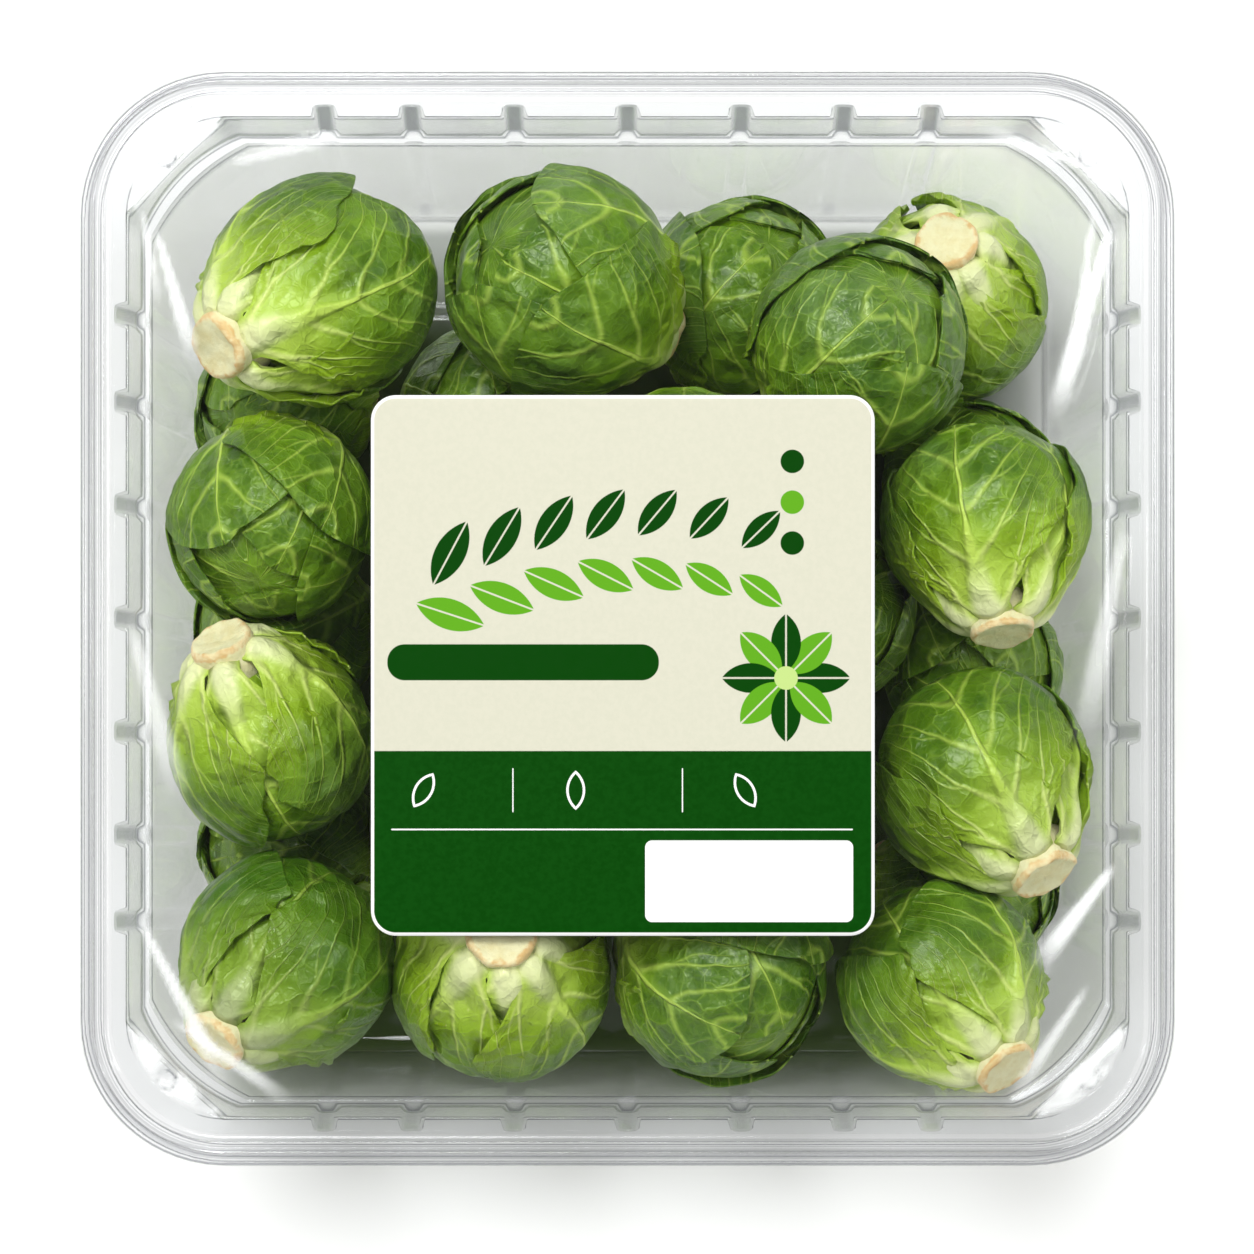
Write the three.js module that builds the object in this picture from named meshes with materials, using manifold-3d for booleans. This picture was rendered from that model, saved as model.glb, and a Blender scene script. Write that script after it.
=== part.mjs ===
// A square clear punnet of brussels sprouts: a fluted tray, its sealed film, a label and the loose sprouts
// inside.
// Millimetres, +Z up. The origin is the middle of the footprint, on the surface that the tray stands on.
// The label's upright side runs along Y, and the punnet is looked at from above.
import * as THREE from 'three';
import { mergeVertices } from 'three/addons/utils/BufferGeometryUtils.js';
import Module from 'manifold-3d';

const wasm = await Module();
wasm.setup();

// Tray, as half widths from the middle and heights above the surface
const RIM_HALF = 70;
const RIM_CORNER = 18.5;
const RIM_BEVEL = 0.8;
const BAND_HALF = 66.3;
const BAND_Z = 54;
const LIP_BOTTOM_Z = BAND_Z - 3.2;
const BEAD_HALF = 68;
const BEAD_HALF_WIDTH = 0.6;
const BEAD_Z = BAND_Z + 0.9;
const MOUTH_HALF = 63.7;
const LEDGE_OUTER_HALF = 62.4;
const LEDGE_INNER_HALF = 61.4;
const LEDGE_Z = BAND_Z - 8;
const FOOT_OUTER_HALF = 57.6;
const FOOT_INNER_HALF = 46;
const FOOT_CUT = 13;
const FOOT_RISE = 2.4;
const FOOT_SLANT = 2.2;
const RING_Z = 0.6;
const PANEL_HALF = 44.5;
const PANEL_Z = 1.2;
const PANEL_CUT = 9;
const PLASTIC = 0.8;
const MOUTH_CUT = 12.5;
const CORNER_STEPS = 5;

// Standing pads under the foot ring's corners
const PAD_AT = 47.3;
const PAD_RADIUS = 3.6;
const PAD_FLAT_RADIUS = 3;
const PAD_ROOT = 0.4;
const PAD_SIDES = 8;

// How round a corner of the wall is at each level, from 0, a chamfer, to 1, an arc
const ROUND = { ring: 0.8, foot: 0.6, ledge: 0.3, ledgeTop: 0.25, mouth: 0.15 };

// Flutes, the upright half-round channels in the walls
const FLUTE_OFFSETS = [-38.7, -27.6, -14.5, 0, 14.5, 27.6, 38.7];
const FLUTE_HALF_WIDTH = 1.15;
const FLUTE_LOW_Z = 7;
const FLUTE_HIGH_Z = BAND_Z - 1.6;
const FLUTE_LOW_HALF = 59;
const FLUTE_HIGH_HALF = 64.2;
const FLUTE_REACH = 4;
const FLUTE_STEPS = 3;

// Dimples in the corner lands
const DIMPLE_AT = 58.9;
const DIMPLE_RADIUS = 1.4;
const DIMPLE_DEPTH = 1.6;
const DIMPLE_TAPER = 0.8;
const DIMPLE_SIDES = 8;

// Film and label
const FILM_HALF = 65.8;
const FILM_CORNER = 14.3;
const FILM_Z = BAND_Z + 0.15;
const FILM_THICKNESS = 0.3;
const LABEL_WIDTH = 64.2;
const LABEL_HEIGHT = 68.9;
const LABEL_CORNER = 3.2;
const LABEL_CENTRE = new THREE.Vector2(-0.6, -6.1);
const LABEL_THICKNESS = 0.25;
const STUCK_GAP = 0.1;

// A sprout, as shares of its radius. Its wrapped leaves overlap round the stem like a pinwheel's blades.
const LEAF_COUNT = 5;
const LEAF_HIGH = 1;
const LEAF_LOW = 0.92;
const LEAF_THICKNESS = 0.05;
const LEAF_OVERHANG = 8;
const LEAF_SWEEP = 34;
const LEAF_UNEVEN = 14;
const LEAF_LEAST_EDGE = 0.15;
const NECK_START = 46;
const NECK_END = 18;
const NECK_RISE = 0.13;
const CROWN_DROP = 0.05;
const CROWN_SPREAD = 60;
const STEM_RADIUS = 0.29;
const STEM_END = 1.2;
const STEM_BEVEL = 0.03;
const LAST_RING = 168;
const FINE = { rings: 8, steps: 3 };
const COARSE = { rings: 7, steps: 2 };

// How the sprouts lie: a sprout is packed as balls along its axis, at shares of its radius. The corner
// walls that hold them cut off CORNER_LEAN of the tray's own corner cut.
const TOUCH_GAP = 0.3;
const NECK_BALL = { at: 0.5, radius: 0.7 };
const STEM_BALL = { at: 0.92, radius: 0.41 };
const SETTLE_ROUNDS = 3000;
const CLEAR_ROUNDS = 1500;
const PULL = 0.03;
const SINK = 0.01;
const FIRM_HOLD = 6;
const CORNER_LEAN = { high: 0.9, low: 0.75 };

// Each sprout: where it is drawn to, its stem's direction, its radius, the turn of its leaves about the
// stem, and its length along the stem as a share of its width. The top layer is at z 39, the bottom at 15.
const SPROUTS = [
  { at: [-40.0, 43.4, 38], stem: [-0.67, -0.45, 0.58], radius: 14.6, turn: 40, long: 1.07 },
  { at: [-8.2, 45.0, 38.5], stem: [0.7, -0.3, -0.65], radius: 15.2, turn: 200, long: 1.0 },
  { at: [15.6, 47.0, 19], stem: [-0.3, -0.55, -0.78], radius: 13.0, turn: 80, long: 1.0 },
  { at: [44.5, 46.0, 17], stem: [-0.05, 0.36, 0.93], radius: 13.2, turn: 10, long: 1.0 },
  { at: [32.0, 35.4, 39], stem: [-0.4, -0.5, -0.77], radius: 14.5, turn: 300, long: 1.0 },
  { at: [48.0, 16.0, 36], stem: [0.1, -0.93, 0.35], radius: 13.4, turn: 60, long: 1.0 },
  { at: [32.0, 2.0, 24], stem: [-0.5, -0.3, -0.81], radius: 12.4, turn: 150, long: 1.0 },
  { at: [48.0, -3.0, 14], stem: [-0.1, 0.5, -0.86], radius: 11.8, turn: 20, long: 1.0 },
  { at: [46.0, -20.0, 38], stem: [0.45, -0.76, 0.47], radius: 14.2, turn: 110, long: 1.0 },
  { at: [41.0, -47.2, 38], stem: [0.5, -0.68, 0.53], radius: 13.3, turn: 250, long: 1.0 },
  { at: [12.7, -47.2, 38], stem: [-0.66, 0.6, -0.45], radius: 14.0, turn: 330, long: 1.0 },
  { at: [-17.0, -47.0, 36], stem: [0.02, 0.32, 0.95], radius: 14.2, turn: 75, long: 1.0 },
  { at: [-45.0, -44.4, 38], stem: [-0.5, -0.62, 0.6], radius: 13.9, turn: 170, long: 1.0 },
  { at: [-46.6, -15.4, 38], stem: [-0.35, 0.76, 0.54], radius: 13.5, turn: 220, long: 1.03 },
  { at: [-46.6, 13.4, 39], stem: [0.1, 0.7, -0.7], radius: 13.6, turn: 290, long: 1.0 },
  { at: [9.0, 17.5, 34], stem: [0.5, 0.3, -0.81], radius: 13.4, turn: 130, long: 1.0 },
  { at: [-18.0, 13.0, 38], stem: [0.2, -0.5, -0.84], radius: 13.2, turn: 60, long: 1.0 },
  { at: [-17.0, -16.0, 38], stem: [0.1, 0.4, -0.91], radius: 13.0, turn: 15, long: 1.0 },
  { at: [14.0, -15.0, 38], stem: [-0.3, 0.2, -0.93], radius: 13.4, turn: 240, long: 1.0 },
  { at: [-47.0, 28.5, 14], stem: [0.6, 0.2, -0.77], radius: 11.9, turn: 100, long: 1.0 },
  { at: [-47.5, 0.0, 14], stem: [0.6, 0.3, -0.74], radius: 11.8, turn: 200, long: 1.0 },
  { at: [-46.5, -29.5, 14], stem: [0.7, 0.1, -0.7], radius: 11.9, turn: 310, long: 1.0 },
  { at: [-18.0, 29.0, 15], stem: [-0.2, 0.2, -0.96], radius: 12.3, turn: 45, long: 1.0 },
  { at: [-23.0, 1.0, 15], stem: [0.3, -0.6, -0.74], radius: 12.4, turn: 160, long: 1.0 },
  { at: [-21.0, -30.0, 14], stem: [-0.3, -0.4, -0.87], radius: 12.3, turn: 270, long: 1.0 },
  { at: [5.0, 0.0, 14], stem: [0.6, 0.0, -0.8], radius: 12.3, turn: 350, long: 1.0 },
  { at: [7.0, -31.0, 14], stem: [0.2, 0.6, -0.77], radius: 12.4, turn: 90, long: 1.0 },
  { at: [46.0, -35.0, 14], stem: [-0.7, 0.2, -0.69], radius: 12.2, turn: 255, long: 1.0 },
  { at: [47.0, 20.0, 13], stem: [-0.5, -0.5, -0.7], radius: 11.5, turn: 35, long: 1.0 },
  { at: [18.0, 21.0, 12], stem: [-0.6, 0.3, -0.74], radius: 11.3, turn: 185, long: 1.0 },
];
const FINE_SPROUTS = 15;

// Finishes
const FINISH = {
  tray: { color: 0xe4e7e8, roughness: 0.08, metalness: 0 },
  film: { color: 0xf2f4f5, roughness: 0.05, metalness: 0 },
  label: { color: 0xefecd9, roughness: 0.55, metalness: 0 },
  sprout: { color: 0x5d8a2c, roughness: 0.5, metalness: 0 },
};

const rad = THREE.MathUtils.degToRad;

function material(name) {
  return new THREE.MeshStandardMaterial(FINISH[name]);
}

// Solids

function geometryOf(corners) {
  const geometry = new THREE.BufferGeometry();
  const flat = corners.flatMap((p) => [p.x, p.y, p.z]);
  geometry.setAttribute('position', new THREE.BufferAttribute(new Float32Array(flat), 3));
  return geometry;
}

function toSolid(geometry) {
  const bare = geometry.clone();
  bare.deleteAttribute('normal');
  bare.deleteAttribute('uv');
  const merged = mergeVertices(bare, 1e-4);
  const vertProperties = merged.attributes.position.array;
  const triVerts = new Uint32Array(merged.index.array);
  return new wasm.Manifold(new wasm.Mesh({ numProp: 3, vertProperties, triVerts }));
}

function fromSolid(solid) {
  const mesh = solid.getMesh();
  const geometry = new THREE.BufferGeometry();
  geometry.setAttribute('position', new THREE.BufferAttribute(mesh.vertProperties, 3));
  geometry.setIndex(new THREE.BufferAttribute(mesh.triVerts, 1));
  geometry.computeVertexNormals();
  return geometry;
}

// Joins loops of points, each running anticlockwise seen from above, into one skin with both ends closed.
function skinOf(loops) {
  const corners = [];
  const count = loops[0].length;
  for (let row = 0; row + 1 < loops.length; row++) {
    for (let i = 0; i < count; i++) {
      const next = (i + 1) % count;
      const [a, b, c, d] = [loops[row][i], loops[row][next], loops[row + 1][next], loops[row + 1][i]];
      corners.push(a, b, c, a, c, d);
    }
  }
  const middle = (loop) => loop.reduce((sum, p) => sum.add(p), new THREE.Vector3()).divideScalar(count);
  const bottom = middle(loops[0]);
  const top = middle(loops[loops.length - 1]);
  for (let i = 0; i < count; i++) {
    const next = (i + 1) % count;
    corners.push(bottom, loops[0][next], loops[0][i]);
    corners.push(top, loops[loops.length - 1][i], loops[loops.length - 1][next]);
  }
  return toSolid(geometryOf(corners));
}

function meshOf(name, solid, finish) {
  const mesh = new THREE.Mesh(fromSolid(solid), material(finish));
  mesh.name = name;
  return mesh;
}

// Tray

// A square loop at height z. Its corners start `cut` short of the point: arcs at round 1, chamfers at 0.
function squareLoop({ half, cut, round, z }) {
  const points = [];
  const up = new THREE.Vector3(0, 0, 1);
  for (let corner = 0; corner < 4; corner++) {
    for (let i = 0; i <= CORNER_STEPS; i++) {
      const t = i / CORNER_STEPS;
      const angle = t * Math.PI / 2;
      const arcX = half - cut + cut * Math.cos(angle);
      const arcY = half - cut + cut * Math.sin(angle);
      const x = THREE.MathUtils.lerp(half - cut * t, arcX, round);
      const y = THREE.MathUtils.lerp(half - cut * (1 - t), arcY, round);
      points.push(new THREE.Vector3(x, y, z).applyAxisAngle(up, corner * Math.PI / 2));
    }
  }
  return points;
}

// A level of the rim, whose corner is concentric with the outer one.
function rimLevel(half, z) {
  return { half, cut: RIM_CORNER - (RIM_HALF - half), round: 1, z };
}

function wallLevel(half, z, cut, round) {
  return { half, cut, round, z };
}

function trayOutside() {
  const p = PLASTIC;
  const levels = [
    wallLevel(PANEL_HALF, PANEL_Z, PANEL_CUT, 1),
    wallLevel(FOOT_INNER_HALF, RING_Z, PANEL_CUT + 1, 1),
    wallLevel(FOOT_OUTER_HALF - FOOT_SLANT, RING_Z, FOOT_CUT - 1, ROUND.ring),
    wallLevel(FOOT_OUTER_HALF + p, FOOT_RISE, FOOT_CUT, ROUND.foot),
    wallLevel(LEDGE_INNER_HALF + p, LEDGE_Z - p, MOUTH_CUT, ROUND.ledge),
    wallLevel(LEDGE_OUTER_HALF + p, LEDGE_Z - p / 2, MOUTH_CUT, ROUND.ledgeTop),
    wallLevel(MOUTH_HALF + p, BAND_Z - p, MOUTH_CUT, ROUND.mouth),
    rimLevel(BAND_HALF, BAND_Z - p),
    rimLevel(RIM_HALF - p, BAND_Z - p),
    rimLevel(RIM_HALF - p, LIP_BOTTOM_Z),
    rimLevel(RIM_HALF, LIP_BOTTOM_Z),
    rimLevel(RIM_HALF, BAND_Z - RIM_BEVEL),
    rimLevel(RIM_HALF - RIM_BEVEL, BAND_Z),
    rimLevel(BEAD_HALF + BEAD_HALF_WIDTH, BEAD_Z),
    rimLevel(BEAD_HALF - BEAD_HALF_WIDTH, BEAD_Z),
    rimLevel(BAND_HALF, BAND_Z),
    wallLevel(MOUTH_HALF, BAND_Z, MOUTH_CUT, ROUND.mouth),
  ];
  return skinOf(levels.map(squareLoop));
}

function trayInside() {
  const p = PLASTIC;
  const overMouth = 3;
  const slope = (MOUTH_HALF - LEDGE_OUTER_HALF) / (BAND_Z - LEDGE_Z);
  const levels = [
    wallLevel(PANEL_HALF, PANEL_Z + p, PANEL_CUT, 1),
    wallLevel(FOOT_INNER_HALF, RING_Z + p, PANEL_CUT + 1, 1),
    wallLevel(FOOT_OUTER_HALF - FOOT_SLANT, RING_Z + p, FOOT_CUT - 1, ROUND.ring),
    wallLevel(FOOT_OUTER_HALF, FOOT_RISE + p / 2, FOOT_CUT, ROUND.foot),
    wallLevel(LEDGE_INNER_HALF, LEDGE_Z, MOUTH_CUT, ROUND.ledge),
    wallLevel(LEDGE_OUTER_HALF, LEDGE_Z + p / 2, MOUTH_CUT, ROUND.ledgeTop),
    wallLevel(MOUTH_HALF, BAND_Z, MOUTH_CUT, ROUND.mouth),
    wallLevel(MOUTH_HALF + overMouth * slope, BAND_Z + overMouth, MOUTH_CUT, ROUND.mouth),
  ];
  return skinOf(levels.map(squareLoop));
}

// A flute's section at height z: a half round facing out, with a straight tail towards the tray's middle.
function fluteLoop(offset, width, z) {
  const t = (z - FLUTE_LOW_Z) / (FLUTE_HIGH_Z - FLUTE_LOW_Z);
  const out = THREE.MathUtils.lerp(FLUTE_LOW_HALF, FLUTE_HIGH_HALF, t) - FLUTE_HALF_WIDTH;
  const points = [new THREE.Vector3(out - FLUTE_REACH, offset - width, z)];
  for (let i = 0; i <= FLUTE_STEPS; i++) {
    const angle = -Math.PI / 2 + Math.PI * i / FLUTE_STEPS;
    points.push(new THREE.Vector3(out + width * Math.cos(angle), offset + width * Math.sin(angle), z));
  }
  points.push(new THREE.Vector3(out - FLUTE_REACH, offset + width, z));
  return points;
}

function flutes(width, grow) {
  const all = [];
  for (let side = 0; side < 4; side++) {
    for (const offset of FLUTE_OFFSETS) {
      const low = fluteLoop(offset, width, FLUTE_LOW_Z - grow);
      const high = fluteLoop(offset, width, FLUTE_HIGH_Z + grow);
      all.push(skinOf([low, high]).rotate([0, 0, side * 90]));
    }
  }
  return wasm.Manifold.union(all);
}

// A low drum in each corner, standing upright between two heights.
function cornerDrums({ at, top, bottom, sides, highZ, lowZ }) {
  const all = [];
  for (let corner = 0; corner < 4; corner++) {
    const geometry = new THREE.CylinderGeometry(top, bottom, highZ - lowZ, sides);
    geometry.rotateX(Math.PI / 2);
    geometry.translate(at, at, (highZ + lowZ) / 2);
    geometry.rotateZ(corner * Math.PI / 2);
    all.push(toSolid(geometry));
  }
  return wasm.Manifold.union(all);
}

function dimples() {
  const highZ = BAND_Z - PLASTIC / 2;
  const lowZ = highZ - DIMPLE_DEPTH;
  const [top, bottom] = [DIMPLE_RADIUS, DIMPLE_RADIUS * DIMPLE_TAPER];
  return cornerDrums({ at: DIMPLE_AT, top, bottom, sides: DIMPLE_SIDES, highZ, lowZ });
}

function standingPads() {
  const [top, bottom] = [PAD_RADIUS, PAD_FLAT_RADIUS];
  return cornerDrums({ at: PAD_AT, top, bottom, sides: PAD_SIDES, highZ: RING_Z + PAD_ROOT, lowZ: 0 });
}

function tray() {
  const skin = trayOutside().add(flutes(FLUTE_HALF_WIDTH + PLASTIC, PLASTIC));
  const outside = skin.add(dimples()).add(standingPads());
  const inside = trayInside().add(flutes(FLUTE_HALF_WIDTH, 0));
  return meshOf('tray', outside.subtract(inside), 'tray');
}

// Film and label

function film() {
  const level = { half: FILM_HALF, cut: FILM_CORNER, round: 1, z: FILM_Z };
  const loops = [level, { ...level, z: FILM_Z + FILM_THICKNESS }].map(squareLoop);
  return meshOf('lid_film', skinOf(loops), 'film');
}

function label() {
  const shape = new THREE.Shape();
  const [w, h, r] = [LABEL_WIDTH / 2, LABEL_HEIGHT / 2, LABEL_CORNER];
  shape.absarc(w - r, h - r, r, 0, Math.PI / 2);
  shape.absarc(-w + r, h - r, r, Math.PI / 2, Math.PI);
  shape.absarc(-w + r, -h + r, r, Math.PI, Math.PI * 1.5);
  shape.absarc(w - r, -h + r, r, Math.PI * 1.5, Math.PI * 2);
  const settings = { depth: LABEL_THICKNESS, bevelEnabled: false, curveSegments: CORNER_STEPS };
  const geometry = new THREE.ExtrudeGeometry(shape, settings);
  const mesh = meshOf('label', toSolid(geometry), 'label');
  mesh.position.set(LABEL_CENTRE.x, LABEL_CENTRE.y, FILM_Z + FILM_THICKNESS + STUCK_GAP);
  return mesh;
}

// Sprouts. In its own frame a sprout's stem points along -Z and its head's centre is the origin.

// A number from 0 to 1 that differs from sprout to sprout and use to use.
function vary(index, use) {
  const x = index * 0.618034 + use * 0.754878;
  return x - Math.floor(x);
}

// The head's surface as a share of its radius: a ball that draws out into a neck round the stem.
function headProfile(fromStem) {
  const neck = 1 - THREE.MathUtils.smoothstep(fromStem, NECK_END, NECK_START);
  const crown = 1 - THREE.MathUtils.smoothstep(180 - fromStem, 0, CROWN_SPREAD);
  return 1 + NECK_RISE * neck - CROWN_DROP * crown;
}

// How much of a leaf's height above the next one shows: little at the neck and the crown, all of it between.
function edgeShare(fromStem) {
  const neck = THREE.MathUtils.smoothstep(fromStem, 0, NECK_START);
  const crown = THREE.MathUtils.smoothstep(180 - fromStem, 0, CROWN_SPREAD / 2);
  return THREE.MathUtils.lerp(LEAF_LEAST_EDGE, 1, neck * crown);
}

// The points round one ring of the head, at an angle from the stem. Each leaf runs from its free edge,
// which hangs over the leaf before it, down to where the leaf after it covers it.
function headRing(sprout, index, fromStem, steps) {
  const rise = (fromStem - NECK_END) / (180 - NECK_END);
  const edge = edgeShare(fromStem);
  const starts = [];
  for (let k = 0; k <= LEAF_COUNT; k++) {
    const leaf = k % LEAF_COUNT;
    const turn = k * 360 / LEAF_COUNT + LEAF_UNEVEN * vary(index, leaf);
    starts.push(turn + (LEAF_SWEEP + LEAF_UNEVEN * vary(index, leaf + LEAF_COUNT)) * rise);
  }
  const points = [];
  const add = (turn, share) => {
    const out = sprout.radius * headProfile(fromStem) * THREE.MathUtils.lerp(LEAF_HIGH, share, edge);
    const across = out * Math.sin(rad(fromStem));
    const z = -out * Math.cos(rad(fromStem)) * sprout.long;
    points.push(new THREE.Vector3(across * Math.cos(rad(turn)), across * Math.sin(rad(turn)), z));
  };
  for (let k = 0; k < LEAF_COUNT; k++) {
    const from = starts[k] - LEAF_OVERHANG;
    add(from, LEAF_HIGH - LEAF_THICKNESS);
    for (let i = 0; i < steps; i++) {
      const t = i / steps;
      add(THREE.MathUtils.lerp(from, starts[k + 1], t), THREE.MathUtils.lerp(LEAF_HIGH, LEAF_LOW, t ** 3));
    }
    add(starts[k + 1], LEAF_LOW);
  }
  return points;
}

// A ring of the stem, with as many points as a ring of the head and under the same turns.
function stemRing(sprout, neckRing, share, end) {
  const fullRadius = share * sprout.radius / neckRing[1].length();
  return neckRing.map((p) => {
    const flat = new THREE.Vector3(p.x, p.y, 0).setLength(fullRadius * p.length());
    flat.z = -end * sprout.radius * sprout.long;
    return flat;
  });
}

function sproutSolid(sprout, index) {
  const { rings, steps } = index < FINE_SPROUTS ? FINE : COARSE;
  const heads = [];
  for (let i = 0; i < rings; i++) {
    const fromStem = THREE.MathUtils.lerp(NECK_END, LAST_RING, i / (rings - 1));
    heads.push(headRing(sprout, index, fromStem, steps));
  }
  const stems = [
    stemRing(sprout, heads[0], STEM_RADIUS - STEM_BEVEL, STEM_END),
    stemRing(sprout, heads[0], STEM_RADIUS, STEM_END - STEM_BEVEL),
  ];
  return skinOf([...stems, ...heads]);
}

// Turns a sprout's own -Z onto its stem's direction, after its turn about the stem.
function sproutTurn({ stem, turn }) {
  const down = new THREE.Vector3(0, 0, -1);
  const swing = new THREE.Quaternion().setFromUnitVectors(down, new THREE.Vector3(...stem).normalize());
  const spin = new THREE.Quaternion().setFromAxisAngle(new THREE.Vector3(0, 0, 1), rad(turn));
  return swing.multiply(spin);
}

// Packing

function ballsOf(sprout) {
  const axis = new THREE.Vector3(...sprout.stem).normalize();
  const stretch = sprout.long - 1;
  const balls = [{ at: stretch, radius: 1 }, NECK_BALL, STEM_BALL];
  if (stretch > 0) balls.push({ at: -stretch, radius: 1 });
  return balls.map(({ at, radius }) => ({
    offset: axis.clone().multiplyScalar(at * sprout.radius * sprout.long),
    radius: radius * sprout.radius,
  }));
}

const WALL_SLOPE = (LEDGE_INNER_HALF - FOOT_OUTER_HALF) / (LEDGE_Z - FOOT_RISE);
const CORNER_HIGH = (2 * LEDGE_INNER_HALF - MOUTH_CUT * CORNER_LEAN.high) / Math.SQRT2;
const CORNER_LOW = (2 * FOOT_OUTER_HALF - FOOT_CUT * CORNER_LEAN.low) / Math.SQRT2;
const CORNER_SLOPE = (CORNER_HIGH - CORNER_LOW) / (LEDGE_Z - FOOT_RISE);
const SIDES = [[1, 0], [-1, 0], [0, 1], [0, -1]];
const WALLS = SIDES.map(([x, y]) => ({ x, y, half: LEDGE_INNER_HALF, slope: WALL_SLOPE }));
for (const [x, y] of [[1, 1], [-1, 1], [-1, -1], [1, -1]]) {
  WALLS.push({ x: x * Math.SQRT1_2, y: y * Math.SQRT1_2, half: CORNER_HIGH, slope: CORNER_SLOPE });
}

// Moves a sprout's centre off the walls, the floor and the film.
function holdInside(piece) {
  for (const ball of piece.balls) {
    const p = piece.centre.clone().add(ball.offset);
    for (const wall of WALLS) {
      const tilt = Math.hypot(1, wall.slope);
      const room = (wall.half + (p.z - LEDGE_Z) * wall.slope - p.x * wall.x - p.y * wall.y) / tilt;
      const push = ball.radius + TOUCH_GAP - room;
      const inwards = new THREE.Vector3(-wall.x, -wall.y, wall.slope);
      if (push > 0) piece.centre.addScaledVector(inwards, push / tilt);
    }
    const low = PANEL_Z + PLASTIC + TOUCH_GAP + ball.radius - p.z;
    if (low > 0) piece.centre.z += low;
    const high = p.z + ball.radius + TOUCH_GAP - FILM_Z;
    if (high > 0) piece.centre.z -= high;
  }
}

// Moves two sprouts apart where their balls come closer than the gap.
function partPair(one, other) {
  for (const a of one.balls) {
    for (const b of other.balls) {
      const apart = other.centre.clone().add(b.offset).sub(one.centre).sub(a.offset);
      const push = a.radius + b.radius + TOUCH_GAP - apart.length();
      if (push <= 0) continue;
      apart.setLength(push / (one.hold + other.hold));
      one.centre.addScaledVector(apart, -other.hold);
      other.centre.addScaledVector(apart, one.hold);
    }
  }
}

function packedCentres() {
  const pieces = SPROUTS.map((s, index) => ({
    centre: new THREE.Vector3(...s.at),
    home: new THREE.Vector3(...s.at),
    balls: ballsOf(s),
    hold: index < FINE_SPROUTS ? FIRM_HOLD : 1,
  }));
  for (let round = 0; round < SETTLE_ROUNDS + CLEAR_ROUNDS; round++) {
    for (const [i, piece] of pieces.entries()) {
      if (round < SETTLE_ROUNDS) {
        piece.centre.lerp(piece.home, PULL);
        piece.centre.z -= SINK;
      }
      for (let j = 0; j < i; j++) partPair(pieces[j], piece);
      holdInside(piece);
    }
  }
  return pieces.map((piece) => piece.centre);
}

function sprouts() {
  const centres = packedCentres();
  return SPROUTS.map((sprout, index) => {
    const name = `sprout_${String(index + 1).padStart(2, '0')}`;
    const mesh = meshOf(name, sproutSolid(sprout, index), 'sprout');
    mesh.quaternion.copy(sproutTurn(sprout));
    mesh.position.copy(centres[index]);
    return mesh;
  });
}

const punnet = new THREE.Group();
punnet.add(tray(), film(), label(), ...sprouts());

export default punnet;
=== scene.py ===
# The looks of a sealed, clear square punnet of brussels sprouts, seen from straight above.
import math
from collections import namedtuple

import bpy
import numpy as np
from mathutils import Matrix, Quaternion, Vector


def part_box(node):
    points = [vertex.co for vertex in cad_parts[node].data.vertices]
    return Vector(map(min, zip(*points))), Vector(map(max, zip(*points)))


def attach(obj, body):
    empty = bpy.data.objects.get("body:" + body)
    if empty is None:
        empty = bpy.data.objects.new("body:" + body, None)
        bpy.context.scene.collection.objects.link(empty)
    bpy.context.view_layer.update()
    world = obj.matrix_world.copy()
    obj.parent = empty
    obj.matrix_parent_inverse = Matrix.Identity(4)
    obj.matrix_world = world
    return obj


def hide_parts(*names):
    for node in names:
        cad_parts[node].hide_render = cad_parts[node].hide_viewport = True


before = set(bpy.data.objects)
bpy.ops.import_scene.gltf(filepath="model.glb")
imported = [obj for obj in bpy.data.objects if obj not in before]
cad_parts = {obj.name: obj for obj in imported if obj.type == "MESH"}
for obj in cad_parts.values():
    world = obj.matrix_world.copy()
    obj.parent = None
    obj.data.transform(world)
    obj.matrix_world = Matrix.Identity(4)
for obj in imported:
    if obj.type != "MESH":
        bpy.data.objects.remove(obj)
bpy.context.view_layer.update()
MM = 0.001

# Tray, as half widths and heights in millimetres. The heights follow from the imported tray's own top.
TRAY_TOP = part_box("tray")[1].z / MM
RIM_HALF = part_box("tray")[1].x / MM
RIM_CORNER = 18.5
BAND_Z = TRAY_TOP - 0.9
LEDGE_Z = BAND_Z - 8
BAND_HALF = 66.3
MOUTH_HALF = 63.7
LEDGE_OUTER_HALF = 62.4
LEDGE_INNER_HALF = 61.4
FOOT_OUTER_HALF = 57.6
FOOT_INNER_HALF = 46
FOOT_RISE = 2.8
PANEL_HALF = 44.5
PANEL_Z = 2.0
RING_FLOOR_Z = 1.4
PAD_AT = 47.3
PAD_RADIUS = 3.6
PAD_DEPTH = 0.95
PLASTIC = 0.45
LIP_BOTTOM_Z = BAND_Z - 3.15
MOUTH_CUT = 12.5
FOOT_CUT = 13
LABEL_CENTRE = (-0.6, -6.1)

# Flutes in the walls and dimples in the corner lands
FLUTE_OFFSETS = (-38.7, -27.6, -14.5, 0, 14.5, 27.6, 38.7)
FLUTE_HALF_WIDTH = 1.15
FLUTE_LOW_Z = 7
FLUTE_DEPTH_LOW = 0.8
FLUTE_TOP_HALF = 65.2
FLUTE_STEP_HALF = 62.95
DIMPLE_AT = 58.9
DIMPLE_RADIUS = 1.4
DIMPLE_DEPTH = 1.2

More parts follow.
